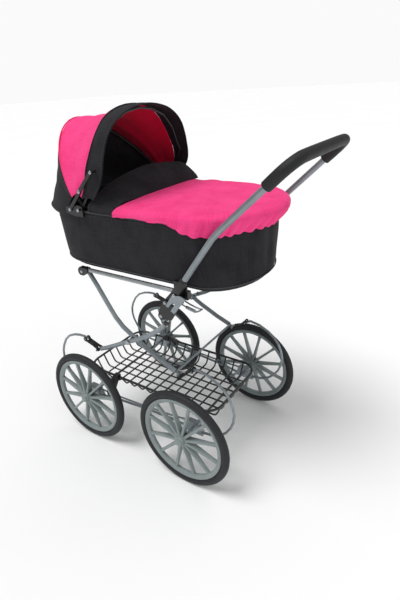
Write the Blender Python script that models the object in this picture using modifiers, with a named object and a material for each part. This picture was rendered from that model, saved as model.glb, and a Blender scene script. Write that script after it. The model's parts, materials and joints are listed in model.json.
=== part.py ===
"""Coach-style doll stroller: wire-sprung undercarriage, folding X frame, carrycot with hood."""
import math

import bmesh
import bpy
from mathutils import Matrix, Vector

# ---------------------------------------------------------------- driving sizes, metres
WHEEL_DIAMETER = 0.220
TYRE_SECTION = 0.0185
TRACK = 0.305                 # between the wheels' middle planes
WHEELBASE = 0.2735
DRAWN_WHEELBASE = 273.5       # mm, the side-view tables below are drawn for this wheelbase
DRAWN_AXLE = 110.0            # mm, height of the axles in the side-view tables
FRONT_AXLE_X = -0.1940        # puts the origin under the middle of the overall length

AXLE_DIAMETER = 0.006
HUB_DIAMETER = 0.022
HUB_CAP_DIAMETER = 0.016
HUB_INNER_SIDE = 0.0115       # hub end, from the wheel's middle plane towards the frame
HUB_OUTER_SIDE = 0.0125       # hub end, from the wheel's middle plane outwards
HUB_CAP_LENGTH = 0.005
RIM_DEPTH = 0.0085
RIM_WIDTH = 0.0105
SPOKES = 12

SPRING_WIRE = 0.0056
ROD_WIRE = 0.004
TUBE_DIAMETER = 0.010         # crossed frame tubes
RAIL_DIAMETER = 0.009
CROSSBAR_DIAMETER = 0.005
PIN_DIAMETER = 0.0044         # cross pins of the straps
STRAP_WIDTH = 0.013
STRAP_THICKNESS = 0.0034
OUTER_PLANE_INSET = 0.0265    # wheel plane to the plane of the outer crossed tube

BASKET_LENGTH = 0.367
BASKET_WIDTH = 0.1934
BASKET_CORNER = 0.034
BASKET_RIM_HEIGHT = 0.0358    # rim above the axles
BASKET_WIRE = 0.0037
BASKET_RIM_WIRE = 0.0055
BASKET_CELL = 0.0245
BASKET_FLARE = 0.012          # floor to rim, on every side
BASKET_LONG_WIRES = 7
BASKET_CROSS_WIRES = 13

COT_WIDTH = 0.276             # at the rim
COT_TAPER = 0.021             # the floor is this much narrower on every side
COT_HEIGHT = 0.126
COT_WALL = 0.003
HEAD_POWER = 2.3              # roundness of the plan at the hood end
FOOT_POWER = 2.0
BOARD_THICKNESS = 0.004
COVER_CLOTH = 0.002
COVER_SKIRT = 0.015           # hem below the rim, over the foot end
COVER_RISE = 0.016            # flat top of the cover above the rim
COVER_OVERHANG = 0.028        # cover past the wall at the foot end
COVER_EDGE = 0.145            # front edge of the cover behind the front axle
FLAP_HEIGHT = 0.047
FLAP_LEAN = 0.045

HOOD_CLOTH = 0.0015
HOOD_SIDE = 0.1405            # half-width of the cloth beside the pivots
HOOD_ROOT = 0.030             # the cloth starts this far from the pivot line
BOW_WIRE = 0.005
LINK_WIDTH = 0.007
LINK_THICKNESS = 0.0025

HANDLE_TUBE = 0.0115
HANDLE_CORNER = 0.034
HANDLE_LOW_INSET = 0.0055     # cot rim to the handle leg's plane at the bracket
HANDLE_HALF_WIDTH = 0.123     # handle leg's plane beside the grip
GRIP_DIAMETER = 0.022

GAP = 0.0003                  # between pieces that touch
RUNNING = 0.0005              # between pieces that move past each other

# ---------------------------------------------------------------- derived planes
AXLE_Z = WHEEL_DIAMETER / 2
WHEEL_Y = TRACK / 2
OUTER_Y = WHEEL_Y - OUTER_PLANE_INSET
INNER_Y = OUTER_Y - TUBE_DIAMETER - 0.0065
RAIL_Y = INNER_Y + TUBE_DIAMETER / 2 + RAIL_DIAMETER / 2 + RUNNING
HANDLE_LOW_Y = COT_WIDTH / 2 - HANDLE_LOW_INSET
PLATE_Y = OUTER_Y + TUBE_DIAMETER / 2 + RUNNING      # inner face of the lock plates
PLATE_THICKNESS = 0.0025
SIDES = (("left", -1.0), ("right", 1.0))


def sx(x):
    """World x of a side-view x given in mm behind the front axle."""
    return FRONT_AXLE_X + x / DRAWN_WHEELBASE * WHEELBASE


def sz(z):
    """World z of a side-view height given in mm."""
    return AXLE_Z + (z - DRAWN_AXLE) / 1000


# side-view points, mm
FRONT_SPRING = [(-3, 252), (-11, 254), (-28, 253), (-46, 249), (-66, 240), (-82, 225), (-94, 205),
                (-100, 189), (-101, 171), (-97, 155), (-90, 140), (-80, 126), (-66, 113), (-48, 105),
                (-26, 101.9), (26, 101.9)]
REAR_SPRING = [(281, 250), (293, 255.5), (316, 251), (338, 240), (353, 228), (363, 214), (370, 196),
               (373, 178), (370, 160), (363, 143), (352, 127), (338, 114), (320, 105.5),
               (299.5, 101.9), (247.5, 101.9)]
UPPER_ROD = [(-26, 117.6), (26, 117.6), (60, 115), (137, 114), (214, 115), (247.5, 117.6),
             (299.5, 117.6)]
X_PIVOT = (131.6, 282.3)
FRONT_HINGE = (15, 420)
TUBE_A = [(15, 420), (41, 383), (62, 350), (82, 320), (101, 301), (131.6, 282.3), (158, 267.5),
          (200, 247), (245, 229)]
TUBE_B = [(30, 232), (60, 245), (88, 259.5), (131.6, 282.3), (158, 295), (189, 313), (214, 331),
          (230, 345), (238.5, 364)]
LOCK_PIN = (244.7, 402.1)
LOCK_PLATE = [(240, 405), (248, 408), (262, 400), (273, 392.5), (266, 381.5), (248, 355.5),
              (241, 352), (233, 359), (225.5, 370), (226.5, 376)]
LOCK_CHANNEL = [(265, 422.5), (283.5, 426.5), (295.5, 421.5), (281, 403.5), (268, 386.5),
                (260, 390.5), (271, 406.5), (267, 410.5), (255, 396.5), (249, 399)]
LOCK_ARM = [(239.5, 402), (243, 396.8), (249, 397.5), (265, 415), (270, 424), (270, 429), (262, 429),
            (243, 408)]
BAIL = [(272, 406.5), (288, 400.5), (302, 397), (311, 396), (317, 399)]
HANDLE_PIVOT = (280, 438)
HANDLE_LEG = [(289, 451), (340, 523), (352, 540), (366, 555.5), (448, 633)]
CROSSBAR = (492, 674.5)
RAIL_Z = 425
DRAWN_COT_HEIGHT = 126.0      # mm, the hood's pivots are drawn for this height
LIFT = 1000 * COT_HEIGHT - DRAWN_COT_HEIGHT
HOOD_PIVOT = (61, 565 + LIFT)
STRETCHER_FOOT = (37.2, 564.2 + LIFT)
STRETCHER_KNEE = (73.6, 602.5 + LIFT)
STRETCHER_TOP = (112, 641 + LIFT)
# hood rows: angle about the pivot line in degrees, height, half-width, roundness
HOOD_ROWS = [(90, 175.8, 147.9, 1.91), (100, 169.5, 145.8, 1.83), (115, 178.9, 142.7, 1.69),
             (129, 206.5, 142.0, 1.77), (145, 173.5, 141.2, 1.90), (160, 161.5, 142.0, 2.05),
             (180, 167.0, 143.5, 2.30)]
MIDDLE_BOW_ANGLE = 129
# front seam and visor edge of the hood: (height above the pivot line's level, half-width)
SEAM = [(22, 140.5), (50, 140), (76, 137), (92, 129.5), (108, 121), (125, 111), (141, 99.5),
        (157, 85), (168, 70), (178, 46), (183, 20), (184, 0)]
VISOR = [(22, 140.5), (50, 138.5), (72, 135), (92, 131), (112, 125), (132, 116), (143, 108),
         (153, 98), (163, 84), (173, 63), (180, 36), (183, 15), (184, 0)]
BOARD_Z = sz(RAIL_Z) + RAIL_DIAMETER / 2 + GAP
COT_Z = BOARD_Z + BOARD_THICKNESS + GAP
RIM_Z = COT_Z + COT_HEIGHT

COLLECTION = bpy.data.collections.new("doll_stroller")


def clear_scene():
    for obj in list(bpy.data.objects):
        bpy.data.objects.remove(obj, do_unlink=True)
    bpy.context.scene.collection.children.link(COLLECTION)


def material(name, red, green, blue, roughness, metallic=0.0):
    mat = bpy.data.materials.new(name)
    mat.use_nodes = True
    shader = mat.node_tree.nodes["Principled BSDF"]
    shader.inputs["Base Color"].default_value = (red, green, blue, 1.0)
    shader.inputs["Roughness"].default_value = roughness
    shader.inputs["Metallic"].default_value = metallic
    return mat


def add(name, mesh, mat):
    obj = bpy.data.objects.new(name, mesh)
    mesh.materials.clear()
    mesh.materials.append(mat)
    COLLECTION.objects.link(obj)
    return obj


def from_bmesh(name, bm, mat=None):
    mesh = bpy.data.meshes.new(name)
    bm.to_mesh(mesh)
    bm.free()
    return add(name, mesh, mat or STEEL)


def box(name, lower, upper, mat=None):
    bm = bmesh.new()
    size = Vector(upper) - Vector(lower)
    middle = (Vector(upper) + Vector(lower)) / 2
    place = Matrix.Translation(middle) @ Matrix.Diagonal((*size, 1.0))
    bmesh.ops.create_cube(bm, size=1.0, matrix=place)
    return from_bmesh(name, bm, mat)


def pin(name, x, z, y_from, y_to, radius, mat=None, sides=16):
    """Cylinder along y."""
    bm = bmesh.new()
    turn = Matrix.Rotation(math.radians(90), 4, "X")
    place = Matrix.Translation((x, (y_from + y_to) / 2, z)) @ turn
    bmesh.ops.create_cone(bm, cap_ends=True, segments=sides, radius1=radius, radius2=radius,
                          depth=abs(y_to - y_from), matrix=place)
    return from_bmesh(name, bm, mat)


def rod_x(name, x_from, x_to, y, z, radius, mat=None, sides=12):
    """Cylinder along x."""
    bm = bmesh.new()
    turn = Matrix.Rotation(math.radians(90), 4, "Y")
    place = Matrix.Translation(((x_from + x_to) / 2, y, z)) @ turn
    bmesh.ops.create_cone(bm, cap_ends=True, segments=sides, radius1=radius, radius2=radius,
                          depth=abs(x_to - x_from), matrix=place)
    return from_bmesh(name, bm, mat)


def plate(name, outline, y_from, y_to, mat=None):
    """Flat piece: an outline of (x, z) points, extruded along y."""
    bm = bmesh.new()
    verts = [bm.verts.new((x, y_from, z)) for x, z in outline]
    face = bm.faces.new(verts)
    grown = bmesh.ops.extrude_face_region(bm, geom=[face])
    moved = [item for item in grown["geom"] if isinstance(item, bmesh.types.BMVert)]
    bmesh.ops.translate(bm, vec=(0, y_to - y_from, 0), verts=moved)
    bmesh.ops.recalc_face_normals(bm, faces=bm.faces)
    return from_bmesh(name, bm, mat)


def tube(name, points, radius, mat=None, resolution=2, cyclic=False):
    """Round wire or tube along a list of points, as a mesh with welded caps."""
    curve = bpy.data.curves.new(name, "CURVE")
    curve.dimensions = "3D"
    curve.bevel_depth = radius
    curve.bevel_resolution = resolution
    curve.use_fill_caps = not cyclic
    spline = curve.splines.new("POLY")
    spline.points.add(len(points) - 1)
    for point, place in zip(spline.points, points):
        point.co = (*place, 1.0)
    spline.use_cyclic_u = cyclic
    guide = bpy.data.objects.new(name, curve)
    COLLECTION.objects.link(guide)
    depsgraph = bpy.context.evaluated_depsgraph_get()
    mesh = bpy.data.meshes.new_from_object(guide.evaluated_get(depsgraph))
    bpy.data.objects.remove(guide, do_unlink=True)
    bm = bmesh.new()
    bm.from_mesh(mesh)
    bmesh.ops.remove_doubles(bm, verts=bm.verts, dist=1e-6)
    bmesh.ops.recalc_face_normals(bm, faces=bm.faces)
    bm.to_mesh(mesh)
    bm.free()
    obj = add(name, mesh, mat or STEEL)
    obj.name = name
    return obj


def combine(obj, operation, tools):
    """Join or cut with other objects, which are used up."""
    for tool in tools:
        step = obj.modifiers.new(operation.lower(), "BOOLEAN")
        step.operation = operation
        step.object = tool
        step.solver = "EXACT"
    bake(obj)
    for tool in tools:
        bpy.data.objects.remove(tool, do_unlink=True)
    return obj


def join(obj, *tools):
    return combine(obj, "UNION", tools)


def cut(obj, *tools):
    return combine(obj, "DIFFERENCE", tools)


def bake(obj):
    """Apply the modifiers."""
    depsgraph = bpy.context.evaluated_depsgraph_get()
    mesh = bpy.data.meshes.new_from_object(obj.evaluated_get(depsgraph))
    first = obj.data.materials[0]
    obj.modifiers.clear()
    obj.data = mesh
    mesh.materials.clear()
    mesh.materials.append(first)


def merged(name, pieces, mat):
    """One mesh object from several that don't touch each other."""
    bm = bmesh.new()
    for piece in pieces:
        bm.from_mesh(piece.data)
        bpy.data.objects.remove(piece, do_unlink=True)
    return from_bmesh(name, bm, mat)


def smooth(obj, angle=35.0):
    obj.data.shade_smooth()
    obj.data.set_sharp_from_angle(angle=math.radians(angle))
    return obj


def set_origin(obj, place):
    """Move the object's origin to a joint axis without moving its shape."""
    obj.data.transform(Matrix.Translation(-Vector(place)))
    obj.location = place
    return obj


def lifted(points, y):
    """Side-view points in mm to world points in the plane y."""
    return [(sx(x), y, sz(z)) for x, z in points]


def oval(front, rear, width, straight_from, straight_to, count=9):
    """Plan outline of the cot, counter-clockwise from the rear end."""
    points = []
    for k in range(4 * count):
        turn = 2 * math.pi * k / (4 * count)
        c, s = math.cos(turn), math.sin(turn)
        power = FOOT_POWER if c >= 0 else HEAD_POWER
        reach = abs(c) ** (2 / power)
        side = math.copysign(abs(s) ** (2 / power), s)
        if c >= 0:
            x = straight_to + (rear - straight_to) * reach
        else:
            x = straight_from + (front - straight_from) * reach
        points.append((x, width * side))
    return points


def resample(points, count):
    """The same line with count points at even distances."""
    lengths = [0.0]
    for a, b in zip(points, points[1:]):
        lengths.append(lengths[-1] + (Vector(b) - Vector(a)).length)
    out = []
    k = 0
    for n in range(count):
        want = lengths[-1] * n / (count - 1)
        while k < len(points) - 2 and lengths[k + 1] < want:
            k += 1
        share = (want - lengths[k]) / (lengths[k + 1] - lengths[k])
        out.append(Vector(points[k]).lerp(Vector(points[k + 1]), share))
    return out


def loft(name, rows, mat):
    """Open surface through rows of points."""
    bm = bmesh.new()
    made = [[bm.verts.new(place) for place in row] for row in rows]
    for lower, upper in zip(made, made[1:]):
        for k in range(len(lower) - 1):
            bm.faces.new((lower[k], lower[k + 1], upper[k + 1], upper[k]))
    bmesh.ops.recalc_face_normals(bm, faces=bm.faces)
    return from_bmesh(name, bm, mat)


# ---------------------------------------------------------------- materials
STEEL = material("silver_painted_steel", 0.31, 0.35, 0.38, 0.35, 0.6)
RAIL_STEEL = material("bright_steel", 0.55, 0.58, 0.60, 0.25, 0.9)
WHEEL_GREY = material("grey_plastic", 0.25, 0.29, 0.30, 0.5)
RUBBER = material("tyre_rubber", 0.025, 0.027, 0.033, 0.6)
BLACK_PLASTIC = material("black_plastic", 0.015, 0.015, 0.017, 0.4)
BLACK_WIRE = material("black_coated_wire", 0.010, 0.010, 0.012, 0.35)
LEATHER = material("black_strap", 0.020, 0.020, 0.022, 0.55)
CLOTH_BLACK = material("black_cloth", 0.033, 0.033, 0.037, 0.9)
CLOTH_PINK = material("pink_cloth", 1.0, 0.078, 0.275, 0.85)
FOAM = material("black_foam", 0.018, 0.019, 0.022, 0.9)
BOARD = material("base_board", 0.05, 0.05, 0.055, 0.7)


# ---------------------------------------------------------------- wheels and axles
def make_axles():
    ends = WHEEL_Y + HUB_OUTER_SIDE - 0.003
    for name, x in (("axle_front", 0), ("axle_rear", DRAWN_WHEELBASE)):
        smooth(pin(name, sx(x), AXLE_Z, -ends, ends, AXLE_DIAMETER / 2))


def wheel_mesh(side):
    """Hub, blade spokes and rim as one moulding, about the y axis at the origin."""
    tyre_inner = WHEEL_DIAMETER / 2 - TYRE_SECTION
    rim_outer = tyre_inner - GAP
    rim_inner = rim_outer - RIM_DEPTH
    half = RIM_WIDTH / 2
    profile = [(rim_outer, half), (rim_outer, -half), (rim_inner, -half * 0.7),
               (rim_inner, half * 0.7)]
    bm = bmesh.new()
    verts = [bm.verts.new((r, y, 0)) for r, y in profile]
    edges = [bm.edges.new((verts[k], verts[(k + 1) % 4])) for k in range(4)]
    bmesh.ops.spin(bm, geom=verts + edges, cent=(0, 0, 0), axis=(0, 1, 0),
                   angle=2 * math.pi, steps=28, use_merge=True)
    bmesh.ops.recalc_face_normals(bm, faces=bm.faces)
    body = from_bmesh("wheel", bm, WHEEL_GREY)
    blades = bmesh.new()
    hub_reach = HUB_DIAMETER / 2 - 0.003
    rim_reach = rim_inner + 0.003
    for k in range(SPOKES):
        made = bmesh.ops.create_cube(blades, size=1.0)["verts"]
        for vert in made:
            inner = vert.co.x < 0
            vert.co.x = hub_reach if inner else rim_reach
            vert.co.z = math.copysign(0.0022 if inner else 0.0026, vert.co.z)
            vert.co.y = math.copysign(0.0085 if inner else 0.0032, vert.co.y)
        bmesh.ops.rotate(blades, cent=(0, 0, 0), verts=made,
                         matrix=Matrix.Rotation(2 * math.pi * (k + 0.5) / SPOKES, 3, "Y"))
    spokes = from_bmesh("spokes", blades, WHEEL_GREY)
    outer = side * HUB_OUTER_SIDE
    inner = -side * HUB_INNER_SIDE
    hub = pin("hub", 0, 0, inner, outer, HUB_DIAMETER / 2, sides=16)
    cap = pin("cap", 0, 0, outer - side * 0.002, outer + side * HUB_CAP_LENGTH,
              HUB_CAP_DIAMETER / 2, sides=16)
    bore = pin("bore", 0, 0, inner - side * 0.01, outer - side * 0.002,
               AXLE_DIAMETER / 2 + GAP, sides=12)
    join(body, hub)
    join(body, spokes)
    join(body, cap)
    cut(body, bore)
    return body


def make_wheels():
    for side_name, side in SIDES:
        for end, x in (("front", 0), ("rear", DRAWN_WHEELBASE)):
            wheel = wheel_mesh(side)
            wheel.name = f"wheel_{end}_{side_name}"
            wheel.location = (sx(x), side * WHEEL_Y, AXLE_Z)
            smooth(wheel)
            bm = bmesh.new()
            major = WHEEL_DIAMETER / 2 - TYRE_SECTION / 2
            ring = bmesh.ops.create_circle(bm, segments=6, radius=TYRE_SECTION / 2,
                                           matrix=Matrix.Translation((major, 0, 0))
                                           @ Matrix.Rotation(math.radians(30), 4, "Z"))
            geometry = ring["verts"] + list(bm.edges)
            bmesh.ops.spin(bm, geom=geometry, cent=(0, 0, 0), axis=(0, 1, 0),
                           angle=2 * math.pi, steps=28, use_merge=True)
            bmesh.ops.recalc_face_normals(bm, faces=bm.faces)
            tyre = from_bmesh(f"tyre_{end}_{side_name}", bm, RUBBER)
            tyre.location = wheel.location
            smooth(tyre, 60)


# ---------------------------------------------------------------- springs, rods, brackets
def spring_path(side):
    """Front C, run under the axle brackets and rear C, as one formed wire."""
    front = list(FRONT_SPRING)
    rear = list(REAR_SPRING)
    middle = [(60, 105.5), (137, 107.5), (214, 105.5)]
    points = front + middle + rear[::-1]
    path = []
    for x, z in points:
        lean = min(1.0, max(0.0, (x - 26) / 221.5))
        y = OUTER_Y + (INNER_Y + 0.001 - OUTER_Y) * lean
        path.append((sx(x), side * y, sz(z)))
    return path


def rod_path(side):
    path = []
    for x, z in UPPER_ROD:
        lean = min(1.0, max(0.0, (x - 26) / 221.5))
        y = OUTER_Y + (INNER_Y + 0.001 - OUTER_Y) * lean
        path.append((sx(x), side * y, sz(z)))
    return path


def make_undercarriage():
    for side_name, side in SIDES:
        path = spring_path(side)
        spring = tube(f"side_spring_{side_name}", path, SPRING_WIRE / 2, STEEL, 1)
        half = STRAP_WIDTH / 2 + 0.001
        tips = [pin("tip", tip[0], tip[2], tip[1] - half, tip[1] + half, PIN_DIAMETER / 2,
                    sides=12)
                for tip in (path[0], path[-1])]
        join(spring, tips[0])
        join(spring, tips[1])
        smooth(spring, 50)
        rod = tube(f"brace_rod_{side_name}", rod_path(side), ROD_WIRE / 2, STEEL, 1)
        smooth(rod, 50)
        for end, x in (("front", 0), ("rear", DRAWN_WHEELBASE)):
            y = abs(path[0][1]) if end == "front" else abs(path[-1][1])
            outline = [(sx(x) - 0.024, sz(96.5)), (sx(x) + 0.024, sz(96.5)),
                       (sx(x) + 0.014, sz(123.5)), (sx(x) - 0.014, sz(123.5))]
            bracket = plate(f"axle_bracket_{end}_{side_name}", outline, side * (y - 0.0055),
                            side * (y + 0.0055), STEEL)
            cut(bracket,
                pin("bore", sx(x), AXLE_Z, side * (y - 0.02), side * (y + 0.02),
                    AXLE_DIAMETER / 2 + GAP),
                tube("bore", path, SPRING_WIRE / 2 + GAP, None, 1),
                tube("bore", rod_path(side), ROD_WIRE / 2 + GAP, None, 1))


def make_straps():
    """Leather-like suspension straps with a forked eye round the cross pin at each end."""
    ends = (("front", OUTER_Y, (-3, 252), TUBE_B[0]),
            ("rear", INNER_Y + 0.0005, (281, 250), TUBE_A[-1]))
    for side_name, side in SIDES:
        for end, y, top, low in ends:
            a = Vector((sx(top[0]), 0, sz(top[1])))
            b = Vector((sx(low[0]), 0, sz(low[1])))
            along = (b - a).normalized()
            across = Vector((-along.z, 0, along.x))
            eye = PIN_DIAMETER / 2 + GAP + 0.0022
            thin = STRAP_THICKNESS / 2
            outline = [a + along * (eye + 0.002) + across * thin]
            for k in range(6):
                turn = math.radians(50 + 260 * k / 5)
                outline.append(a + (along * math.cos(turn) + across * math.sin(turn)) * eye)
            outline.append(a + along * (eye + 0.002) - across * thin)
            outline.append(b - along * (eye + 0.002) - across * thin)
            for k in range(6):
                turn = math.radians(230 + 260 * k / 5)
                outline.append(b + (along * math.cos(turn) + across * math.sin(turn)) * eye)
            outline.append(b - along * (eye + 0.002) + across * thin)
            middle = side * y
            strap = plate(f"strap_{end}_{side_name}", [(p.x, p.z) for p in outline],
                          middle - STRAP_WIDTH / 2, middle + STRAP_WIDTH / 2, LEATHER)
            tools = []
            for place in (a, b):
                tools.append(pin("eye", place.x, place.z, middle - 0.02, middle + 0.02,
                                 PIN_DIAMETER / 2 + GAP, sides=10))
                tools.append(pin("fork", place.x, place.z, middle - SPRING_WIRE / 2 - RUNNING,
                                 middle + SPRING_WIRE / 2 + RUNNING, eye + 0.0018, sides=10))
            cut(strap, *tools)
            set_origin(strap, (a.x, middle, a.z))


# ---------------------------------------------------------------- crossed tubes
def stemmed_tube(name, points, y, pin_end, eye_end, side):
    """Frame tube with a thin stem and cross pin at one end and a pierced eye at the other."""
    path = lifted(points, side * y)
    if pin_end == 0:
        path.reverse()
    tip = Vector(path[-1])
    before = Vector(path[-2])
    along = (tip - before).normalized()
    path[-1] = tuple(tip - along * 0.010)
    if eye_end:
        first = Vector(path[0])
        path[0] = tuple(first + (first - Vector(path[1])).normalized() * 0.0045)
    obj = tube(name, path, TUBE_DIAMETER / 2, STEEL, 2)
    stem = tube("stem", [tuple(tip - along * 0.014), tuple(tip)], SPRING_WIRE / 2, None, 1)
    half = STRAP_WIDTH / 2 + 0.001
    cross = pin("cross", tip.x, tip.z, tip.y - half, tip.y + half, PIN_DIAMETER / 2, sides=12)
    join(obj, stem)
    join(obj, cross)
    return obj


def make_crossed_tubes():
    pivot = (sx(X_PIVOT[0]), sz(X_PIVOT[1]))
    for side_name, side in SIDES:
        inner = stemmed_tube(f"tube_inner_{side_name}", TUBE_A, INNER_Y, 1, True, side)
        outer = stemmed_tube(f"tube_outer_{side_name}", TUBE_B, OUTER_Y, 0, False, side)
        bolt_bore = PIN_DIAMETER / 2 + 0.0009
        cut(inner,
            pin("bore", *pivot, side * (INNER_Y - 0.02), side * (INNER_Y + 0.02), bolt_bore),
            pin("bore", sx(FRONT_HINGE[0]), sz(FRONT_HINGE[1]), side * (INNER_Y - 0.02),
                side * (INNER_Y + 0.02), 0.0028),
            pin("bore", sx(238), sz(233), side * (INNER_Y - 0.02), side * INNER_Y,
                CROSSBAR_DIAMETER / 2 + GAP))
        cut(outer,
            pin("bore", *pivot, side * (OUTER_Y - 0.02), side * (OUTER_Y + 0.02), bolt_bore))
        top = TUBE_B[-1]
        join(outer, pin("stud", sx(top[0]), sz(top[1]), side * (OUTER_Y + 0.002),
                        side * (PLATE_Y + PLATE_THICKNESS + 0.002), 0.0025, sides=12))
        smooth(inner)
        smooth(outer)
        set_origin(inner, (pivot[0], 0, pivot[1]))
        set_origin(outer, (pivot[0], 0, pivot[1]))
        bolt = pin(f"pivot_bolt_{side_name}", *pivot, side * (INNER_Y - TUBE_DIAMETER / 2 - 0.003),
                   side * (OUTER_Y + TUBE_DIAMETER / 2 + 0.003), PIN_DIAMETER / 2 + 0.0004,
                   RAIL_STEEL)
        join(bolt,
             pin("spacer", *pivot, side * (INNER_Y + TUBE_DIAMETER / 2 + GAP),
                 side * (OUTER_Y - TUBE_DIAMETER / 2 - GAP), 0.005),
             pin("head", *pivot, side * (OUTER_Y + TUBE_DIAMETER / 2 + GAP),
                 side * (OUTER_Y + TUBE_DIAMETER / 2 + 0.003), 0.005),
             pin("nut", *pivot, side * (INNER_Y - TUBE_DIAMETER / 2 - GAP),
                 side * (INNER_Y - TUBE_DIAMETER / 2 - 0.003), 0.0045, sides=6))
        smooth(bolt)
    reach = INNER_Y - GAP
    bar = pin("crossbar_rear", sx(238), sz(233), -reach, reach, CROSSBAR_DIAMETER / 2, STEEL,
              sides=12)
    smooth(bar)
    set_origin(bar, (pivot[0], 0, pivot[1]))


# ---------------------------------------------------------------- cot frame
def make_cot_frame():
    rail_z = sz(RAIL_Z)
    plug = RAIL_DIAMETER / 2 - 0.0015
    rail_from, rail_to = sx(33) + GAP, sx(258) - GAP
    for side_name, side in SIDES:
        rail = rod_x(f"rail_{side_name}", rail_from, rail_to, side * RAIL_Y, rail_z,
                     RAIL_DIAMETER / 2, RAIL_STEEL)
        cut(rail, rod_x("bore", rail_from - 0.01, rail_to + 0.01, side * RAIL_Y, rail_z,
                        plug + GAP))
        smooth(rail)
        inner_face = INNER_Y + TUBE_DIAMETER / 2 + GAP
        outline = [(5, 424), (5, 416), (10, 411.5), (20, 411.5), (27, 416), (33, 420), (33, 429.3),
                   (9, 429.3)]
        block = plate(f"hinge_block_{side_name}", [(sx(x), sz(z)) for x, z in outline],
                      side * inner_face, side * (RAIL_Y + 0.0065), BLACK_PLASTIC)
        join(block,
             rod_x("plug", sx(30), sx(33) + 0.012, side * RAIL_Y, rail_z, plug),
             pin("stud", sx(FRONT_HINGE[0]), sz(FRONT_HINGE[1]), side * (inner_face + 0.003),
                 side * (INNER_Y - TUBE_DIAMETER / 2 - 0.001), 0.0025, sides=12))
        bracket_y = RAIL_Y + RAIL_DIAMETER / 2 + GAP
        low_inner = RAIL_Y - 0.0065
        bracket = box(f"rear_bracket_{side_name}",
                      (sx(258), min(side * low_inner, side * bracket_y), sz(414)),
                      (sx(292), max(side * low_inner, side * bracket_y), BOARD_Z - GAP),
                      BLACK_PLASTIC)
        channel_y = PLATE_Y + PLATE_THICKNESS + RUNNING
        cheek_y = COT_WIDTH / 2 - COT_TAPER + 0.0042
        pivot = (sx(HANDLE_PIVOT[0]), sz(HANDLE_PIVOT[1]))
        tip = side * (HANDLE_LOW_Y + HANDLE_TUBE / 2 + 0.001)
        join(bracket,
             box("cheek", (sx(262), min(side * cheek_y, side * bracket_y), sz(424)),
                 (sx(291), max(side * cheek_y, side * bracket_y), sz(447))),
             rod_x("plug", sx(258) - 0.012, sx(262), side * RAIL_Y, rail_z, plug),
             pin("stud", *pivot, side * (bracket_y - 0.0015), tip, 0.0027, sides=12),
             box("lug", (sx(267), side * RAIL_Y - 0.003, sz(402)),
                 (sx(277), side * RAIL_Y + 0.003, sz(416))),
             plate("arm", [(sx(x), sz(z)) for x, z in LOCK_ARM], side * (bracket_y + GAP),
                   side * (PLATE_Y - RUNNING)),
             box("bond", (sx(260), min(side * 0.121, side * 0.127), sz(416)),
                 (sx(269), max(side * 0.121, side * 0.127), sz(428))),
             box("spacer", (sx(268), min(side * 0.122, side * (channel_y - GAP)), sz(411)),
                 (sx(277), max(side * 0.122, side * (channel_y - GAP)), sz(420))))
        lock = (sx(LOCK_PIN[0]), sz(LOCK_PIN[1]))
        cut(bracket, pin("bore", sx(BAIL[0][0]), sz(BAIL[0][1]), side * (RAIL_Y - 0.02),
                         side * (RAIL_Y + 0.02), 0.0018, sides=12),
            pin("bore", *lock, side * (bracket_y - 0.01), side * PLATE_Y, 0.0028, sides=12))
        smooth(bracket)
        smooth(block)
        plate(f"lock_channel_{side_name}", [(sx(x), sz(z)) for x, z in LOCK_CHANNEL],
              side * channel_y, side * (channel_y + 0.0028), STEEL)
        make_lock_plate(side_name, side, bracket_y + GAP)
        make_bail(side_name, side)


def make_lock_plate(side_name, side, stud_y):
    """Plate that holds the top of the outer tube; its slot opens rearwards."""
    lock = (sx(LOCK_PIN[0]), sz(LOCK_PIN[1]))
    obj = plate(f"lock_plate_{side_name}", [(sx(x), sz(z)) for x, z in LOCK_PLATE],
                side * PLATE_Y, side * (PLATE_Y + PLATE_THICKNESS), BLACK_PLASTIC)
    join(obj, pin("stud", *lock, side * stud_y, side * (PLATE_Y + 0.0015), 0.0025, sides=12))
    hook = TUBE_B[-1]
    wide = 0.0029
    slot = plate("slot", [(sx(hook[0]), sz(hook[1]) + wide), (sx(hook[0]), sz(hook[1]) - wide),
                          (sx(hook[0]) + 0.03, sz(hook[1]) - wide),
                          (sx(hook[0]) + 0.03, sz(hook[1]) + wide + 0.003)],
                 side * (PLATE_Y - 0.01), side * (PLATE_Y + 0.01))
    eye = pin("eye", sx(hook[0]), sz(hook[1]), side * (PLATE_Y - 0.01), side * (PLATE_Y + 0.01),
              wide, sides=12)
    cut(obj, slot)
    cut(obj, eye)
    set_origin(obj, (lock[0], 0, lock[1]))
    smooth(obj)


def make_bail(side_name, side):
    """Wire loop that hangs in a lug under the rear bracket."""
    half = 0.0062
    y = side * RAIL_Y
    path = [(sx(x), y - half * (1 if k < 4 else 0.5), sz(z))
            for k, (x, z) in enumerate(BAIL)]
    back = [(x, 2 * y - py, z) for x, py, z in path]
    obj = tube(f"bail_{side_name}", path + back[::-1], 0.0015, STEEL, 1, cyclic=True)
    set_origin(obj, (sx(BAIL[0][0]), 0, sz(BAIL[0][1])))
    smooth(obj, 60)


# ---------------------------------------------------------------- carrycot
def cot_section(t, inset=0.0):
    """Plan outline of the cot wall at height fraction t, outer side."""
    front = sx(-92 - 2 * t) + inset
    rear = sx(392 + 4.5 * t) - inset
    width = COT_WIDTH / 2 - COT_TAPER * (1 - t ** 0.85) - inset
    return oval(front, rear, width, sx(35 + 15 * t), sx(302 - 17 * t))


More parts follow.
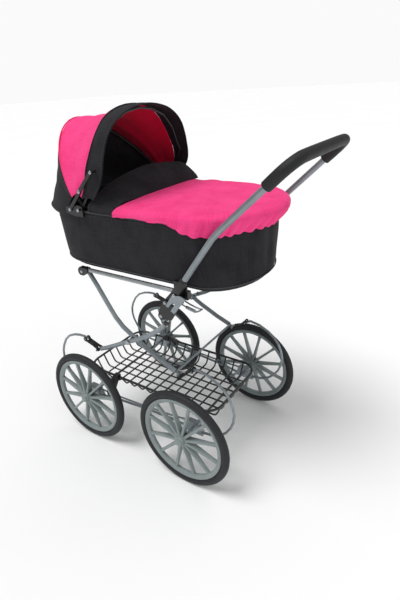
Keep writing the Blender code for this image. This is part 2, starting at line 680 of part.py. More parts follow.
def make_cot():
    bm = bmesh.new()
    verts = [bm.verts.new((x, y, BOARD_Z)) for x, y in cot_section(0.0, 0.010)]
    face = bm.faces.new(verts)
    grown = bmesh.ops.extrude_face_region(bm, geom=[face])
    moved = [item for item in grown["geom"] if isinstance(item, bmesh.types.BMVert)]
    bmesh.ops.translate(bm, vec=(0, 0, BOARD_THICKNESS), verts=moved)
    bmesh.ops.recalc_face_normals(bm, faces=bm.faces)
    from_bmesh("base_board", bm, BOARD)
    bm = bmesh.new()
    rings = []
    for t, inset in ((0.0, 0.008), (0.07, 0.0), (0.5, 0.0), (1.0, 0.0)):
        z = COT_Z + COT_HEIGHT * t
        rings.append([bm.verts.new((x, y, z)) for x, y in cot_section(t, inset)])
    count = len(rings[0])
    bm.faces.new(rings[0][::-1])
    for lower, upper in zip(rings, rings[1:]):
        for k in range(count):
            n = (k + 1) % count
            bm.faces.new((lower[k], lower[n], upper[n], upper[k]))
    shell = from_bmesh("cot_shell", bm, CLOTH_BLACK)
    skin = shell.modifiers.new("wall", "SOLIDIFY")
    skin.thickness = COT_WALL
    skin.offset = -1.0
    smooth(shell, 50)


def make_cover():
    """Puffed cover over the foot of the cot, with its upright flap, as one sewn cloth."""
    edge = sx(0) + COVER_EDGE
    turn_x = sx(285)
    loose = COT_WIDTH / 2 + COVER_CLOTH + 0.002
    snug = COT_WIDTH / 2 + COVER_CLOTH + GAP

    def outline(rear, width):
        ring = oval(sx(-94), rear, width, sx(50), turn_x)
        foot = [p for p in ring if p[0] >= turn_x - 1e-6]
        foot.sort(key=lambda p: math.atan2(p[1], p[0] - turn_x))
        straight = [edge, edge + 0.6 * (turn_x - edge)]
        return [(x, -width) for x in straight] + foot + [(x, width) for x in straight[::-1]]

    outer = outline(sx(396.5) + COVER_OVERHANG, loose)
    inner = outline(sx(396.5) + COVER_CLOTH + GAP, snug)

    def shrunk(scale):
        return [(turn_x + (x - turn_x) * scale if x > turn_x else x, y * scale) for x, y in outer]

    def hem_z(x):
        return RIM_Z + GAP - COVER_SKIRT * min(1.0, max(0.0, (x - edge) / (turn_x - edge)))

    rows = [[(x, y, hem_z(x)) for x, y in inner]]
    rows.append([(x, y, hem_z(x) + 0.3 * (RIM_Z + 0.006 - hem_z(x))) for x, y in outer])
    rows.append([(x, y, RIM_Z + 0.45 * COVER_RISE) for x, y in outer])
    for scale, rise in ((0.975, 0.85), (0.88, 1.0), (0.5, 1.1), (0.0, 1.12)):
        rows.append([(x, y, RIM_Z + COVER_RISE * rise) for x, y in shrunk(scale)])
    bm = bmesh.new()
    made = [[bm.verts.new(place) for place in row] for row in rows]
    for lower, upper in zip(made, made[1:]):
        for k in range(len(lower) - 1):
            bm.faces.new((lower[k], lower[k + 1], upper[k + 1], upper[k]))
    front = [row[0] for row in made] + [row[-1] for row in made[-2::-1]]
    previous = front
    for share in (0.5, 1.0):
        row = []
        for vert in front:
            crown = 1 - min(1.0, abs(vert.co.y) / loose) ** 2
            lean = FLAP_LEAN + 0.015 * (1 - crown)
            row.append(bm.verts.new((edge - lean * share, vert.co.y * (1 - 0.008 * share),
                                     vert.co.z + (0.003 + FLAP_HEIGHT * crown) * share)))
        for k in range(len(front) - 1):
            bm.faces.new((previous[k], previous[k + 1], row[k + 1], row[k]))
        previous = row
    bmesh.ops.remove_doubles(bm, verts=bm.verts, dist=1e-6)
    bmesh.ops.recalc_face_normals(bm, faces=bm.faces)
    cover = from_bmesh("cot_cover", bm, CLOTH_PINK)
    cloth = cover.modifiers.new("cloth", "SOLIDIFY")
    cloth.thickness = COVER_CLOTH
    cloth.offset = -1.0
    smooth(cover, 50)


# ---------------------------------------------------------------- hood
def about_pivot(radius, y, degrees):
    turn = math.radians(degrees)
    return (sx(HOOD_PIVOT[0]) + radius * math.cos(turn), y,
            sz(HOOD_PIVOT[1]) + radius * math.sin(turn))


def hood_shape(degrees):
    """Height, half-width and roundness of the taut cloth at an angle about the pivot line."""
    table = HOOD_ROWS
    degrees = min(max(degrees, table[0][0]), table[-1][0])
    for low, high in zip(table, table[1:]):
        if degrees <= high[0]:
            share = (degrees - low[0]) / (high[0] - low[0])
            return [a + (b - a) * share for a, b in zip(low[1:], high[1:])]
    return list(table[-1][1:])


def hood_row(degrees, count=13, inset=0.0, root=HOOD_ROOT):
    """Points from the near side over the top to the far side, evenly spaced."""
    height, width, power = hood_shape(degrees)
    height, width = height / 1000 - inset, width / 1000 - inset
    limit = math.acos(min(1.0, (root / height) ** (power / 2)))
    fine = []
    for k in range(81):
        turn = limit * (k / 40 - 1)
        radius = height * math.cos(turn) ** (2 / power)
        y = math.copysign(width * abs(math.sin(turn)) ** (2 / power), turn)
        y = max(-HOOD_SIDE + inset, min(HOOD_SIDE - inset, y))
        fine.append(about_pivot(radius, y, degrees))
    return resample(fine, count)


def edge_row(table, base_x, lean, curl, count=13, inset=0.0):
    """Seam or visor edge as a row of points; curl draws its foot towards the pivot."""
    half = []
    for u, y in table:
        x = base_x + lean * u - curl * max(0.0, (74 - u) / 52) ** 2
        top = u / 184
        side = abs(y) / 140
        half.append(((sx(x)), y / 1000 - inset * side, sz(HOOD_PIVOT[1] + u) - inset * top))
    near = [(x, -y, z) for x, y, z in half]
    return resample(near + half[-2::-1], count)


def seam_row(**more):
    return edge_row(SEAM, 86, 0.035, 16, **more)


def visor_row(**more):
    return edge_row(VISOR, 122, 0.07, 24, **more)


def turned(row, degrees):
    """The row turned about the pivot line."""
    centre = Vector((sx(HOOD_PIVOT[0]), 0, sz(HOOD_PIVOT[1])))
    turn = Matrix.Rotation(math.radians(-degrees), 3, "Y")
    return [centre + turn @ (Vector(p) - centre) for p in row]


def cloth_piece(name, rows, mat):
    obj = loft(name, rows, mat)
    outward = sum((face.normal.dot(face.center - Vector((sx(60), 0, sz(600 + LIFT))))
                   for face in obj.data.polygons))
    cloth = obj.modifiers.new("cloth", "SOLIDIFY")
    cloth.thickness = HOOD_CLOTH
    cloth.offset = -1.0 if outward > 0 else 1.0
    bake(obj)
    set_origin(obj, (sx(HOOD_PIVOT[0]), 0, sz(HOOD_PIVOT[1])))
    return smooth(obj, 60)


def make_hood_cloth():
    seam, edge = seam_row(), visor_row()
    middle = []
    for a, b in zip(seam, edge):
        spot = (Vector(a) + Vector(b)) / 2
        spot.z += 0.002
        middle.append(spot)
    visor = cloth_piece("hood_visor", [seam, middle, edge], CLOTH_BLACK)
    top = Vector((sx(STRETCHER_TOP[0]), 0, sz(STRETCHER_TOP[1])))
    for side_name, side in SIDES:
        hole = pin("hole", top.x, top.z, side * 0.12, side * 0.15, 0.0026, sides=12)
        cut(visor, hole)
    half_gap = 1.1
    split = MIDDLE_BOW_ANGLE
    cloth_piece("hood_front_panel",
                [turned(seam, 1.0)] + [hood_row(a) for a in (92, 101, 115, split - half_gap)],
                CLOTH_PINK)
    rows = [hood_row(a) for a in (split + half_gap, 145, 160, 180)]
    for drop, bulge in ((0.009, 0.009), (0.016, 0.0)):
        row = []
        for p in rows[3]:
            reach = max(0.0, (sx(31) - p[0]) / (sx(31) - rows[3][6][0]))
            row.append((p[0] - bulge * reach, p[1] * (1 + 0.02 * bulge / 0.009 * reach),
                        p[2] - drop))
        rows.append(row)
    cloth_piece("hood_back_panel", rows, CLOTH_BLACK)


def make_bow(name, path, boss_y, boss_half):
    """Bow of round wire with a flat eye at each foot."""
    obj = tube(name, path, BOW_WIRE / 2, BLACK_PLASTIC, 1)
    pivot = (sx(HOOD_PIVOT[0]), sz(HOOD_PIVOT[1]))
    join(obj, *[pin("boss", *pivot, side * (boss_y - boss_half), side * (boss_y + boss_half),
                    0.0044, sides=12) for side in (-1, 1)])
    cut(obj, *[pin("bore", *pivot, side * (boss_y - 0.01), side * (boss_y + 0.01), 0.0028,
                   sides=10) for side in (-1, 1)])
    return obj


def link(name, start, end, y_from, y_to, mat):
    """Flat link with round ends between two points."""
    a, b = Vector((start[0], 0, start[1])), Vector((end[0], 0, end[1]))
    along = (b - a).normalized()
    across = Vector((-along.z, 0, along.x))
    half = LINK_WIDTH / 2
    outline = []
    for centre, first in ((a, 90), (b, -90)):
        for k in range(6):
            turn = math.radians(first + 36 * k)
            outline.append(centre + (along * math.cos(turn) + across * math.sin(turn)) * half)
    return plate(name, [(p.x, p.z) for p in outline], y_from, y_to, mat)


def make_hood():
    make_hood_cloth()
    pivot = (sx(HOOD_PIVOT[0]), sz(HOOD_PIVOT[1]))
    origin = (pivot[0], 0, pivot[1])
    foot = (sx(STRETCHER_FOOT[0]), sz(STRETCHER_FOOT[1]))
    knee = (sx(STRETCHER_KNEE[0]), sz(STRETCHER_KNEE[1]))
    top = (sx(STRETCHER_TOP[0]), sz(STRETCHER_TOP[1]))
    inset = HOOD_CLOTH + GAP + BOW_WIRE / 2 + 0.003
    arch = []
    for a, b in zip(seam_row(inset=inset), visor_row(inset=inset)):
        arch.append((Vector(a) + Vector(b)) / 2)
    arch = [p for p in arch if p.z > top[1] + 0.014]
    foot_y, knee_y = 0.1362, 0.1285
    path = [(pivot[0], -foot_y, pivot[1]), (top[0], -knee_y, top[1])] + arch \
        + [(top[0], knee_y, top[1]), (pivot[0], foot_y, pivot[1])]
    front = make_bow("hood_front_bow", path, foot_y, 0.0024)
    link_y = HOOD_SIDE + 0.0046
    join(front, *[pin("stud", *top, side * knee_y, side * (link_y + 0.0053), 0.0020, sides=10)
                  for side in (-1, 1)])
    set_origin(front, origin)
    smooth(front, 50)
    arch = [p for p in hood_row(MIDDLE_BOW_ANGLE, inset=inset, root=0.048)]
    foot_y = foot_y - BOW_WIRE - 0.0004
    path = [(pivot[0], -foot_y, pivot[1]), about_pivot(0.026, -foot_y, MIDDLE_BOW_ANGLE)] + arch \
        + [about_pivot(0.026, foot_y, MIDDLE_BOW_ANGLE), (pivot[0], foot_y, pivot[1])]
    middle = make_bow("hood_middle_bow", path, foot_y, 0.0022)
    set_origin(middle, origin)
    smooth(middle, 50)
    for side_name, side in SIDES:
        plate_in, plate_out = HOOD_SIDE + 0.002, HOOD_SIDE + 0.0042
        outline = [(23, 556), (50, 551), (70, 553), (70, 571), (60, 574), (23, 568)]
        bracket = plate(f"hood_bracket_{side_name}", [(sx(x), sz(z + LIFT)) for x, z in outline],
                        side * plate_in, side * plate_out, BLACK_PLASTIC)
        wall = side * (COT_WIDTH / 2 + RUNNING)
        join(bracket,
             box("foot", (sx(48), min(wall, side * (plate_out - 0.001)), sz(551 + LIFT)),
                 (sx(69), max(wall, side * (plate_out - 0.001)), sz(559 + LIFT))),
             pin("stud", *pivot, side * 0.1275, side * (plate_out + 0.0015), 0.0024, sides=12),
             pin("stud", *foot, side * (plate_out - 0.001), side * (link_y + 0.003), 0.0020,
                 sides=10))
        smooth(bracket)
        lower = link(f"stretcher_lower_{side_name}", foot, knee, side * link_y,
                     side * (link_y + 0.0022), BLACK_PLASTIC)
        cut(lower, pin("bore", *foot, side * (link_y - 0.01), side * (link_y + 0.01), 0.0023,
                       sides=10))
        set_origin(lower, (foot[0], 0, foot[1]))
        upper = link(f"stretcher_upper_{side_name}", top, knee, side * (link_y + 0.0026),
                     side * (link_y + 0.0048), BLACK_PLASTIC)
        cut(upper, pin("bore", *top, side * (link_y - 0.01), side * (link_y + 0.01), 0.0023,
                       sides=10))
        set_origin(upper, (top[0], 0, top[1]))


# ---------------------------------------------------------------- handle
def handle_half():
    """Handle centre line from the pivot on one side to the middle of the crossbar."""
    pivot = Vector((sx(HANDLE_PIVOT[0]), HANDLE_LOW_Y, sz(HANDLE_PIVOT[1])))
    points = []
    low = Vector((sx(HANDLE_LEG[0][0]), 0, sz(HANDLE_LEG[0][1])))
    start = pivot - (Vector((low.x, HANDLE_LOW_Y, low.z)) - pivot).normalized() * 0.0055
    points.append(start)
    points.append(pivot)
    top_x = sx(HANDLE_LEG[-1][0])
    for x, z in HANDLE_LEG:
        share = (sx(x) - pivot.x) / (top_x - pivot.x)
        y = HANDLE_LOW_Y + (HANDLE_HALF_WIDTH - HANDLE_LOW_Y) * share
        points.append(Vector((sx(x), y, sz(z))))
    bar = Vector((sx(CROSSBAR[0]), 0, sz(CROSSBAR[1])))
    along = (bar - Vector((points[-1].x, 0, points[-1].z))).normalized()
    centre = bar - along * HANDLE_CORNER
    centre.y = HANDLE_HALF_WIDTH - HANDLE_CORNER
    for k in range(6):
        turn = math.radians(90 * k / 5)
        points.append(centre + along * HANDLE_CORNER * math.sin(turn)
                      + Vector((0, HANDLE_CORNER * math.cos(turn), 0)))
    return points


def make_handle():
    half = handle_half()
    left = [(p.x, -p.y, p.z) for p in half]
    right = [(p.x, p.y, p.z) for p in half]
    path = left + right[::-1]
    handle = tube("handle_tube", path, HANDLE_TUBE / 2, STEEL, 2)
    pivot = (sx(HANDLE_PIVOT[0]), sz(HANDLE_PIVOT[1]))
    cut(handle, *[pin("bore", *pivot, side * (HANDLE_LOW_Y - 0.02), side * (HANDLE_LOW_Y + 0.02),
                      0.0030) for side in (-1, 1)])
    set_origin(handle, (pivot[0], 0, pivot[1]))
    smooth(handle)
    first = 2 + len(HANDLE_LEG) - 1
    sleeve = left[first:] + right[first:][::-1]
    grip = tube("handle_grip", sleeve, GRIP_DIAMETER / 2, FOAM, 2)
    cut(grip, tube("bore", left[first - 1:] + right[first - 1:][::-1], HANDLE_TUBE / 2 + GAP,
                   None, 2))
    set_origin(grip, (pivot[0], 0, pivot[1]))
    smooth(grip)


# ---------------------------------------------------------------- basket
def make_basket():
    middle_x = (sx(0) + sx(DRAWN_WHEELBASE)) / 2 - 0.0055
    rim_z = AXLE_Z + BASKET_RIM_HEIGHT
    low = AXLE_Z + AXLE_DIAMETER / 2 + GAP + BASKET_WIRE / 2
    high = low + BASKET_WIRE * 0.86
    a, b = BASKET_LENGTH / 2, BASKET_WIDTH / 2
    corner = BASKET_CORNER
    bend = 0.010
    long_wires = []
    for k in range(BASKET_LONG_WIRES):
        y = (k - (BASKET_LONG_WIRES - 1) / 2) * BASKET_CELL * 0.9
        end, foot = a, a - BASKET_FLARE
        half = [(end, rim_z), (foot + 0.001, low + 0.8 * bend), (foot - 0.9 * bend, low)]
        points = [(middle_x - x, y, z) for x, z in half]
        points += [(middle_x + x, y, z) for x, z in half[::-1]]
        long_wires.append(tube("wire", points, BASKET_WIRE / 2 * 1.12, None, 0))
    cross_wires = []
    for k in range(BASKET_CROSS_WIRES):
        x = middle_x + (k - (BASKET_CROSS_WIRES - 1) / 2) * BASKET_CELL
        end, foot = b, b - BASKET_FLARE
        half = [(end, rim_z), (foot + 0.001, high + 0.8 * bend), (foot - 0.9 * bend, high)]
        points = [(x, -y, z) for y, z in half]
        points += [(x, y, z) for y, z in half[::-1]]
        cross_wires.append(tube("wire", points, BASKET_WIRE / 2 * 1.12, None, 0))
    basket = merged("basket", long_wires, BLACK_WIRE)
    across = merged("across", cross_wires, BLACK_WIRE)
    rim = []
    for quarter, (cx, cy) in enumerate(((a, b), (-a, b), (-a, -b), (a, -b))):
        cx = math.copysign(abs(cx) - corner, cx)
        cy = math.copysign(abs(cy) - corner, cy)
        for k in range(5):
            turn = math.radians(90 * quarter + 22.5 * k)
            rim.append((middle_x + cx + corner * math.cos(turn), cy + corner * math.sin(turn),
                        rim_z))
    join(basket, across)
    join(basket, tube("rim", rim, BASKET_RIM_WIRE / 2, None, 1, cyclic=True))
    for side_name, side in SIDES:
        x = middle_x - 3.5 * BASKET_CELL
        rod = [p for p in rod_path(side)]
        start, end = rod[1], rod[2]
        share = (x - start[0]) / (end[0] - start[0])
        rod_y = abs(start[1] + (end[1] - start[1]) * share)
        rod_z = start[2] + (end[2] - start[2]) * share
        outline = [(b - 0.005, rim_z + 0.0055), (b + 0.005, rim_z + 0.0055),
                   (rod_y + 0.0045, rod_z + 0.006), (rod_y + 0.0045, rod_z - 0.0045),
                   (rod_y - 0.0045, rod_z - 0.0045), (b + 0.004, rim_z - 0.007),
                   (b - 0.005, rim_z - 0.0055)]
        bm = bmesh.new()
        verts = [bm.verts.new((x - 0.007, side * y, z)) for y, z in outline]
        face = bm.faces.new(verts)
        grown = bmesh.ops.extrude_face_region(bm, geom=[face])
        moved = [item for item in grown["geom"] if isinstance(item, bmesh.types.BMVert)]
        bmesh.ops.translate(bm, vec=(0.014, 0, 0), verts=moved)
        bmesh.ops.recalc_face_normals(bm, faces=bm.faces)
        clip = from_bmesh(f"basket_clip_{side_name}", bm, BLACK_PLASTIC)
        cut(clip, rod_x("bore", x - 0.03, x + 0.03, side * b, rim_z,
                        BASKET_RIM_WIRE / 2 + GAP))
        cut(clip, tube("bore", rod, ROD_WIRE / 2 + GAP, None, 1))


def main():
    clear_scene()
    make_axles()
    make_wheels()
    make_undercarriage()
    make_straps()
    make_crossed_tubes()
    make_cot_frame()
    make_cot()
    make_cover()
    make_hood()
    make_handle()
    make_basket()


main()
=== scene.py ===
"""Coach-style doll stroller: finishes, wheels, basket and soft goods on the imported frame."""

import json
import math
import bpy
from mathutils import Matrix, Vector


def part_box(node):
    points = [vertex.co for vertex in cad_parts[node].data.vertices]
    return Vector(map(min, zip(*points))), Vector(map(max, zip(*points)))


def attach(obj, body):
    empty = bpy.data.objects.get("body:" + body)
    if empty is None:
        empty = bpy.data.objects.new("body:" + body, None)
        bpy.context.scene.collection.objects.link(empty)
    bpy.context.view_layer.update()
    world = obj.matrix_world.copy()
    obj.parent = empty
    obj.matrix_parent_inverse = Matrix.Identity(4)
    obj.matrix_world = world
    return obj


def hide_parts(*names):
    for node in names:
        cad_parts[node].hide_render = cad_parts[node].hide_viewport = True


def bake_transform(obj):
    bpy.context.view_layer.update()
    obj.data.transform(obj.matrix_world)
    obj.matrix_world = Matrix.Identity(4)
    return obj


bl_info = {
    "name": "Doll Stroller",
    "version": (1, 0, 0),
    "blender": (4, 5, 0),
    "location": "View3D > Sidebar > Doll Stroller",
    "description": "Builds the wheels, basket, cot, cover, hood and finishes of a doll stroller",
    "category": "Object",
}

import bmesh
import bpy
from bpy.props import FloatProperty, FloatVectorProperty, IntProperty, PointerProperty
from mathutils import Matrix, Vector, noise

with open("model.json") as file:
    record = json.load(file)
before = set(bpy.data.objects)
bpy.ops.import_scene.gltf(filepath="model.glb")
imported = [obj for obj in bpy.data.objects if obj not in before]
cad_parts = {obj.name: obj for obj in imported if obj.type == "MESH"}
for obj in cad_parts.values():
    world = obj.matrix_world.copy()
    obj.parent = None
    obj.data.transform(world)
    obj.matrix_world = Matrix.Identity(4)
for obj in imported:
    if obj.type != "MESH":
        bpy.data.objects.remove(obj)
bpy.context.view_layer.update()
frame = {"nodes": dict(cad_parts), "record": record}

NODES = frame["nodes"]
SIDES = (("left", -1.0), ("right", 1.0))
ENDS = ("front", "rear")


def middle(node):
    low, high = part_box(node)
    return (low + high) / 2


def outer_y(node, side):
    low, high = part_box(node)
    return high.y if side > 0 else low.y


AXLE = middle("axle_front")
RIM_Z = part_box("cot_shell")[1].z
FLOOR_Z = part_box("cot_shell")[0].z
COT_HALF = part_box("cot_shell")[1].y


def sx(x):
    """World x of a length in millimetres behind the front axle."""
    return AXLE.x + x / 1000


def sz(z):
    """World z of a height in millimetres over the ground."""
    return AXLE.z + (z - 110) / 1000


def linear(code):
    """Linear RGBA of an sRGB hex colour."""
    parts = [int(code[k:k + 2], 16) / 255 for k in (1, 3, 5)]
    return [c / 12.92 if c <= 0.04045 else ((c + 0.055) / 1.055) ** 2.4 for c in parts] + [1.0]


# ---------------------------------------------------------------- settings
def colour(name, code):
    return FloatVectorProperty(name=name, description=f"Colour of the {name.lower()}", size=4,
                               subtype="COLOR", min=0, max=1, default=linear(code))


def length(name, description, default):
    return FloatProperty(name=name, description=description, default=default, unit="LENGTH",
                         precision=4)


class ClothSettings(bpy.types.PropertyGroup):
    # Each cloth has two tones that the weave and soft noise mix: pink_shade and black are the
    # cloth in painted shade, pink and black_light the cloth in painted highlight.
    pink: colour("Pink cloth", "#FF4E94")
    pink_shade: colour("Pink cloth in its hollows", "#EC3578")
    black: colour("Black cloth", "#1B1B1D")
    black_light: colour("Black cloth where threads catch light", "#2F2F33")
    lining: colour("Hood lining", "#D8123F")
    thread_pitch: length("Thread pitch", "Distance between woven threads", 0.0019)
    stitch_length: length("Stitch length", "Length of one stitch", 0.0034)
    cover_gathers: IntProperty(name="Gathers", description="Gathers round the foot of the cover",
                               default=33, min=8, max=60)
    wrinkle: length("Wrinkle depth", "Depth of the soft wrinkles in the cot wall", 0.0024)


class HardwareSettings(bpy.types.PropertyGroup):
    steel: colour("Painted steel", "#8B9398")
    bright: colour("Bright plated steel", "#A3A8AC")
    wheel: colour("Wheel plastic", "#838D8D")
    tyre: colour("Tyre", "#1C1D22")
    black_plastic: colour("Black plastic", "#0E0E10")
    wire: colour("Basket wire", "#08080A")
    strap: colour("Strap", "#101012")
    foam: colour("Grip foam", "#0F1012")
    board: colour("Base board", "#121214")
    spokes: IntProperty(name="Spokes", description="Spokes in each wheel", default=12, min=6,
                        max=24)
    spoke_width: length("Spoke width", "Width of a spoke seen from the side", 0.0048)
    rivet: length("Rivet head", "Diameter of a rivet head", 0.0072)


# ---------------------------------------------------------------- node helper
def node(tree, kind, links=(), **settings):
    """Adds a node, sets its properties and socket values, and links its inputs."""
    made = tree.nodes.new("ShaderNode" + kind)
    for name, value in settings.items():
        socket = name.replace("_", " ")
        titled = next((s for s in made.inputs if s.name.lower() == socket.lower()), None)
        if titled is not None:
            titled.default_value = value
        else:
            setattr(made, name, value)
    for target, source in dict(links).items():
        tree.links.new(source, made.inputs[target])
    return made


def new_material(name, **shader):
    """A material with a Principled shader; returns the material, its tree and the shader."""
    mat = bpy.data.materials.new(name)
    mat.use_nodes = True
    tree = mat.node_tree
    bsdf = next(n for n in tree.nodes if n.type == "BSDF_PRINCIPLED")
    for socket, value in shader.items():
        bsdf.inputs[socket.replace("_", " ")].default_value = value
    return mat, tree, bsdf


def coloured(tree, bsdf, fac, *stops):
    """Feeds the base colour from a ramp with two stops of position and colour."""
    ramp = node(tree, "ValToRGB", {"Fac": fac})
    for element, (position, rgba) in zip(ramp.color_ramp.elements, stops):
        element.position = position
        element.color = rgba
    tree.links.new(ramp.outputs["Color"], bsdf.inputs["Base Color"])


def mottled(tree, bsdf, low, high, scale, detail=3.0):
    """Colour that varies softly between two tones, in object space."""
    place = node(tree, "TexCoord")
    spots = node(tree, "TexNoise", {"Vector": place.outputs["Object"]}, scale=scale,
                 detail=detail)
    coloured(tree, bsdf, spots.outputs["Fac"], (0.35, low), (0.65, high))
    return place


def tone(rgba, factor):
    return [c * factor for c in rgba[:3]] + [1.0]


def grained(tree, bsdf, place, scale, strength, distance):
    """Fine bump from noise in object space."""
    grain = node(tree, "TexNoise", {"Vector": place.outputs["Object"]}, scale=scale,
                 detail=4.0)
    bump = node(tree, "Bump", {"Height": grain.outputs["Fac"]}, strength=strength,
                distance=distance)
    tree.links.new(bump.outputs["Normal"], bsdf.inputs["Normal"])
    return grain


def worn(tree, bsdf, place, low, high, scale):
    """Roughness that varies where hands and dust have dulled the gloss."""
    smear = node(tree, "TexNoise", {"Vector": place.outputs["Object"]}, scale=scale,
                 detail=2.0)
    span = node(tree, "MapRange", {"Value": smear.outputs["Fac"]}, to_min=low,
                to_max=high)
    tree.links.new(span.outputs["Result"], bsdf.inputs["Roughness"])


def hard_finish(name, base, metallic, rough, grain, strength, **more):
    mat, tree, bsdf = new_material(name, Metallic=metallic, **more)
    place = mottled(tree, bsdf, tone(base, 0.93), tone(base, 1.06), 60.0)
    grained(tree, bsdf, place, grain, strength, 0.0002)
    worn(tree, bsdf, place, rough - 0.06, rough + 0.08, 35.0)
    return mat


def weighted(tree, value, weight):
    made = node(tree, "Math", {0: value}, operation="MULTIPLY")
    made.inputs[1].default_value = weight
    return made


def woven(name, base, light, pitch, sheen, strength=0.35, rough=0.85):
    """Plain weave that follows the cloth's own UV map, which is in metres; its colour runs from
    base, the cloth in painted shade, to light, the cloth in painted highlight.
    """
    mat, tree, bsdf = new_material(name, Roughness=rough, Sheen_Weight=sheen,
                                   Sheen_Roughness=0.5)
    bsdf.inputs["Specular IOR Level"].default_value = 0.12
    across = node(tree, "UVMap", uv_map="cloth")
    waves = []
    for direction in ("X", "Y"):
        waves.append(node(tree, "TexWave", {"Vector": across.outputs["UV"]},
                          bands_direction=direction, scale=math.pi / (10 * pitch),
                          distortion=0.0))
    over = node(tree, "Math", {0: waves[0].outputs["Fac"], 1: waves[1].outputs["Fac"]},
                operation="MULTIPLY")
    place = node(tree, "TexCoord")
    total = weighted(tree, over.outputs["Value"], 0.45)
    # slubs: threads that are a little thicker, as long streaks both ways, and soft patches in
    # object space; like the weave, they shift the colour between painted shade and painted
    # highlight
    for stretch, weight in (((420.0, 30.0, 1.0), 0.5), ((30.0, 420.0, 1.0), 0.4), (None, 0.6)):
        if stretch:
            laid = node(tree, "Mapping", {"Vector": across.outputs["UV"]})
            laid.inputs["Scale"].default_value = stretch
            streak = node(tree, "TexNoise", {"Vector": laid.outputs["Vector"]},
                          scale=1.0, detail=2.0)
        else:
            streak = node(tree, "TexNoise", {"Vector": place.outputs["Object"]},
                          scale=24.0, detail=5.0)
        part = weighted(tree, streak.outputs["Fac"], weight)
        total = node(tree, "Math", {0: total.outputs["Value"],
                                              1: part.outputs["Value"]}, operation="ADD")
    # thread crowns take the painted highlight and the gaps between threads take the painted
    # shade, with the streaks and patches mixed in
    coloured(tree, bsdf, total.outputs["Value"], (0.62, base), (1.12, light))
    threads = node(tree, "Bump", {"Height": over.outputs["Value"]}, strength=strength,
                   distance=0.0003)
    tree.links.new(threads.outputs["Normal"], bsdf.inputs["Normal"])
    return mat


def make_materials():
    cloth = bpy.context.scene.stroller_cloth
    kit = bpy.context.scene.stroller_hardware
    # Powder-coated steel: satin silver-grey with a faint orange-peel grain.
    hard_finish("powder_coated_steel", kit.steel, 0.6, 0.30, 900.0, 0.15)
    # Zinc-plated steel: brighter and smoother, on rails, bolts and rivets.
    hard_finish("zinc_plated_steel", kit.bright, 1.0, 0.24, 1200.0, 0.05)
    # Moulded ABS: even satin grey with a slight mould texture.
    hard_finish("moulded_abs_grey", kit.wheel, 0.0, 0.42, 1500.0, 0.10, IOR=1.53)
    # Foamed rubber tyre: dull, faintly bluish and slightly pitted.
    hard_finish("foamed_rubber", kit.tyre, 0.0, 0.66, 700.0, 0.35, IOR=1.5)
    # Moulded nylon: black hinge parts and links with a soft shine.
    hard_finish("moulded_nylon_black", kit.black_plastic, 0.0, 0.38, 1500.0, 0.10, IOR=1.53)
    # Plastic-dipped wire: black with a clear wet gloss.
    hard_finish("dipped_wire_black", kit.wire, 0.0, 0.30, 500.0, 0.06, Coat_Weight=0.5,
                Coat_Roughness=0.12)
    # Leather strap: black with fine pores.
    hard_finish("leather_strap", kit.strap, 0.0, 0.55, 1100.0, 0.45)
    # Hardboard base under its black film.
    hard_finish("film_faced_board", kit.board, 0.0, 0.62, 600.0, 0.15)
    # Foam grip: closed cells show as a fine matt speckle.
    hard_finish("closed_cell_foam", kit.foam, 0.0, 0.62, 1600.0, 0.6)
    # Woven polyester: matt threads, drawn at the pitch set above so that they show, each cloth
    # mixed from its tones in painted shade and painted highlight.
    woven("woven_polyester_pink", cloth.pink_shade, cloth.pink, cloth.thread_pitch, 0.04)
    woven("woven_polyester_black", cloth.black, cloth.black_light, cloth.thread_pitch, 0.04)
    # Brushed cotton lining inside the front of the hood; three quarters of its colour is its
    # tone in painted shade.
    woven("brushed_cotton_lining", tone(cloth.lining, 0.75), cloth.lining, cloth.thread_pitch,
          0.08, 0.2)
    # Sewing thread: slightly lighter than the cloth it holds.
    hard_finish("sewing_thread_black", tone(cloth.black_light, 1.5), 0.0, 0.7, 900.0, 0.1)
    # Corded piping: dark grey cotton over a cord, lighter than the wall.
    hard_finish("piping_grey", linear("#3C3D41"), 0.0, 0.75, 1200.0, 0.3)
    hard_finish("sewing_thread_pink", cloth.pink, 0.0, 0.7, 900.0, 0.1)


def mat(name):
    return bpy.data.materials[name]


# ---------------------------------------------------------------- mesh helpers
def to_mesh(name, bm):
    mesh = bpy.data.meshes.new(name)
    bm.to_mesh(mesh)
    bm.free()
    return mesh


def cleaned(bm, reach):
    bmesh.ops.remove_doubles(bm, verts=bm.verts, dist=reach)
    bmesh.ops.recalc_face_normals(bm, faces=bm.faces)
    return bm


def placed(name, data):
    obj = bpy.data.objects.new(name, data)
    bpy.context.collection.objects.link(obj)
    return obj


def finished(name, bm, *materials, body, slot, replaces=(), smooth=60.0):
    """Turns a bmesh into a piece that rides on a body."""
    mesh = to_mesh(name, bm)
    mesh.shade_smooth()
    mesh.set_sharp_from_angle(angle=math.radians(smooth))
    obj = placed(name, mesh)
    for item in materials:
        mesh.materials.append(mat(item))
    if body:
        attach(obj, body)
    if replaces:
        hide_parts(*replaces)
    return obj


def spun(profile, centre, steps):
    """Closed profile of (radius, y) points spun about the y axis through centre."""
    bm = bmesh.new()
    verts = [bm.verts.new((r, y, 0)) for r, y in profile]
    edges = [bm.edges.new((a, b)) for a, b in zip(verts, verts[1:] + verts[:1])]
    bmesh.ops.spin(bm, geom=verts + edges, cent=(0, 0, 0), axis=(0, 1, 0), angle=2 * math.pi,
                   steps=steps, use_merge=True)
    cleaned(bm, 1e-6)
    bmesh.ops.translate(bm, vec=centre, verts=bm.verts)
    return bm


def merge(target, other):
    mesh = to_mesh("part", other)
    target.from_mesh(mesh)
    bpy.data.meshes.remove(mesh)


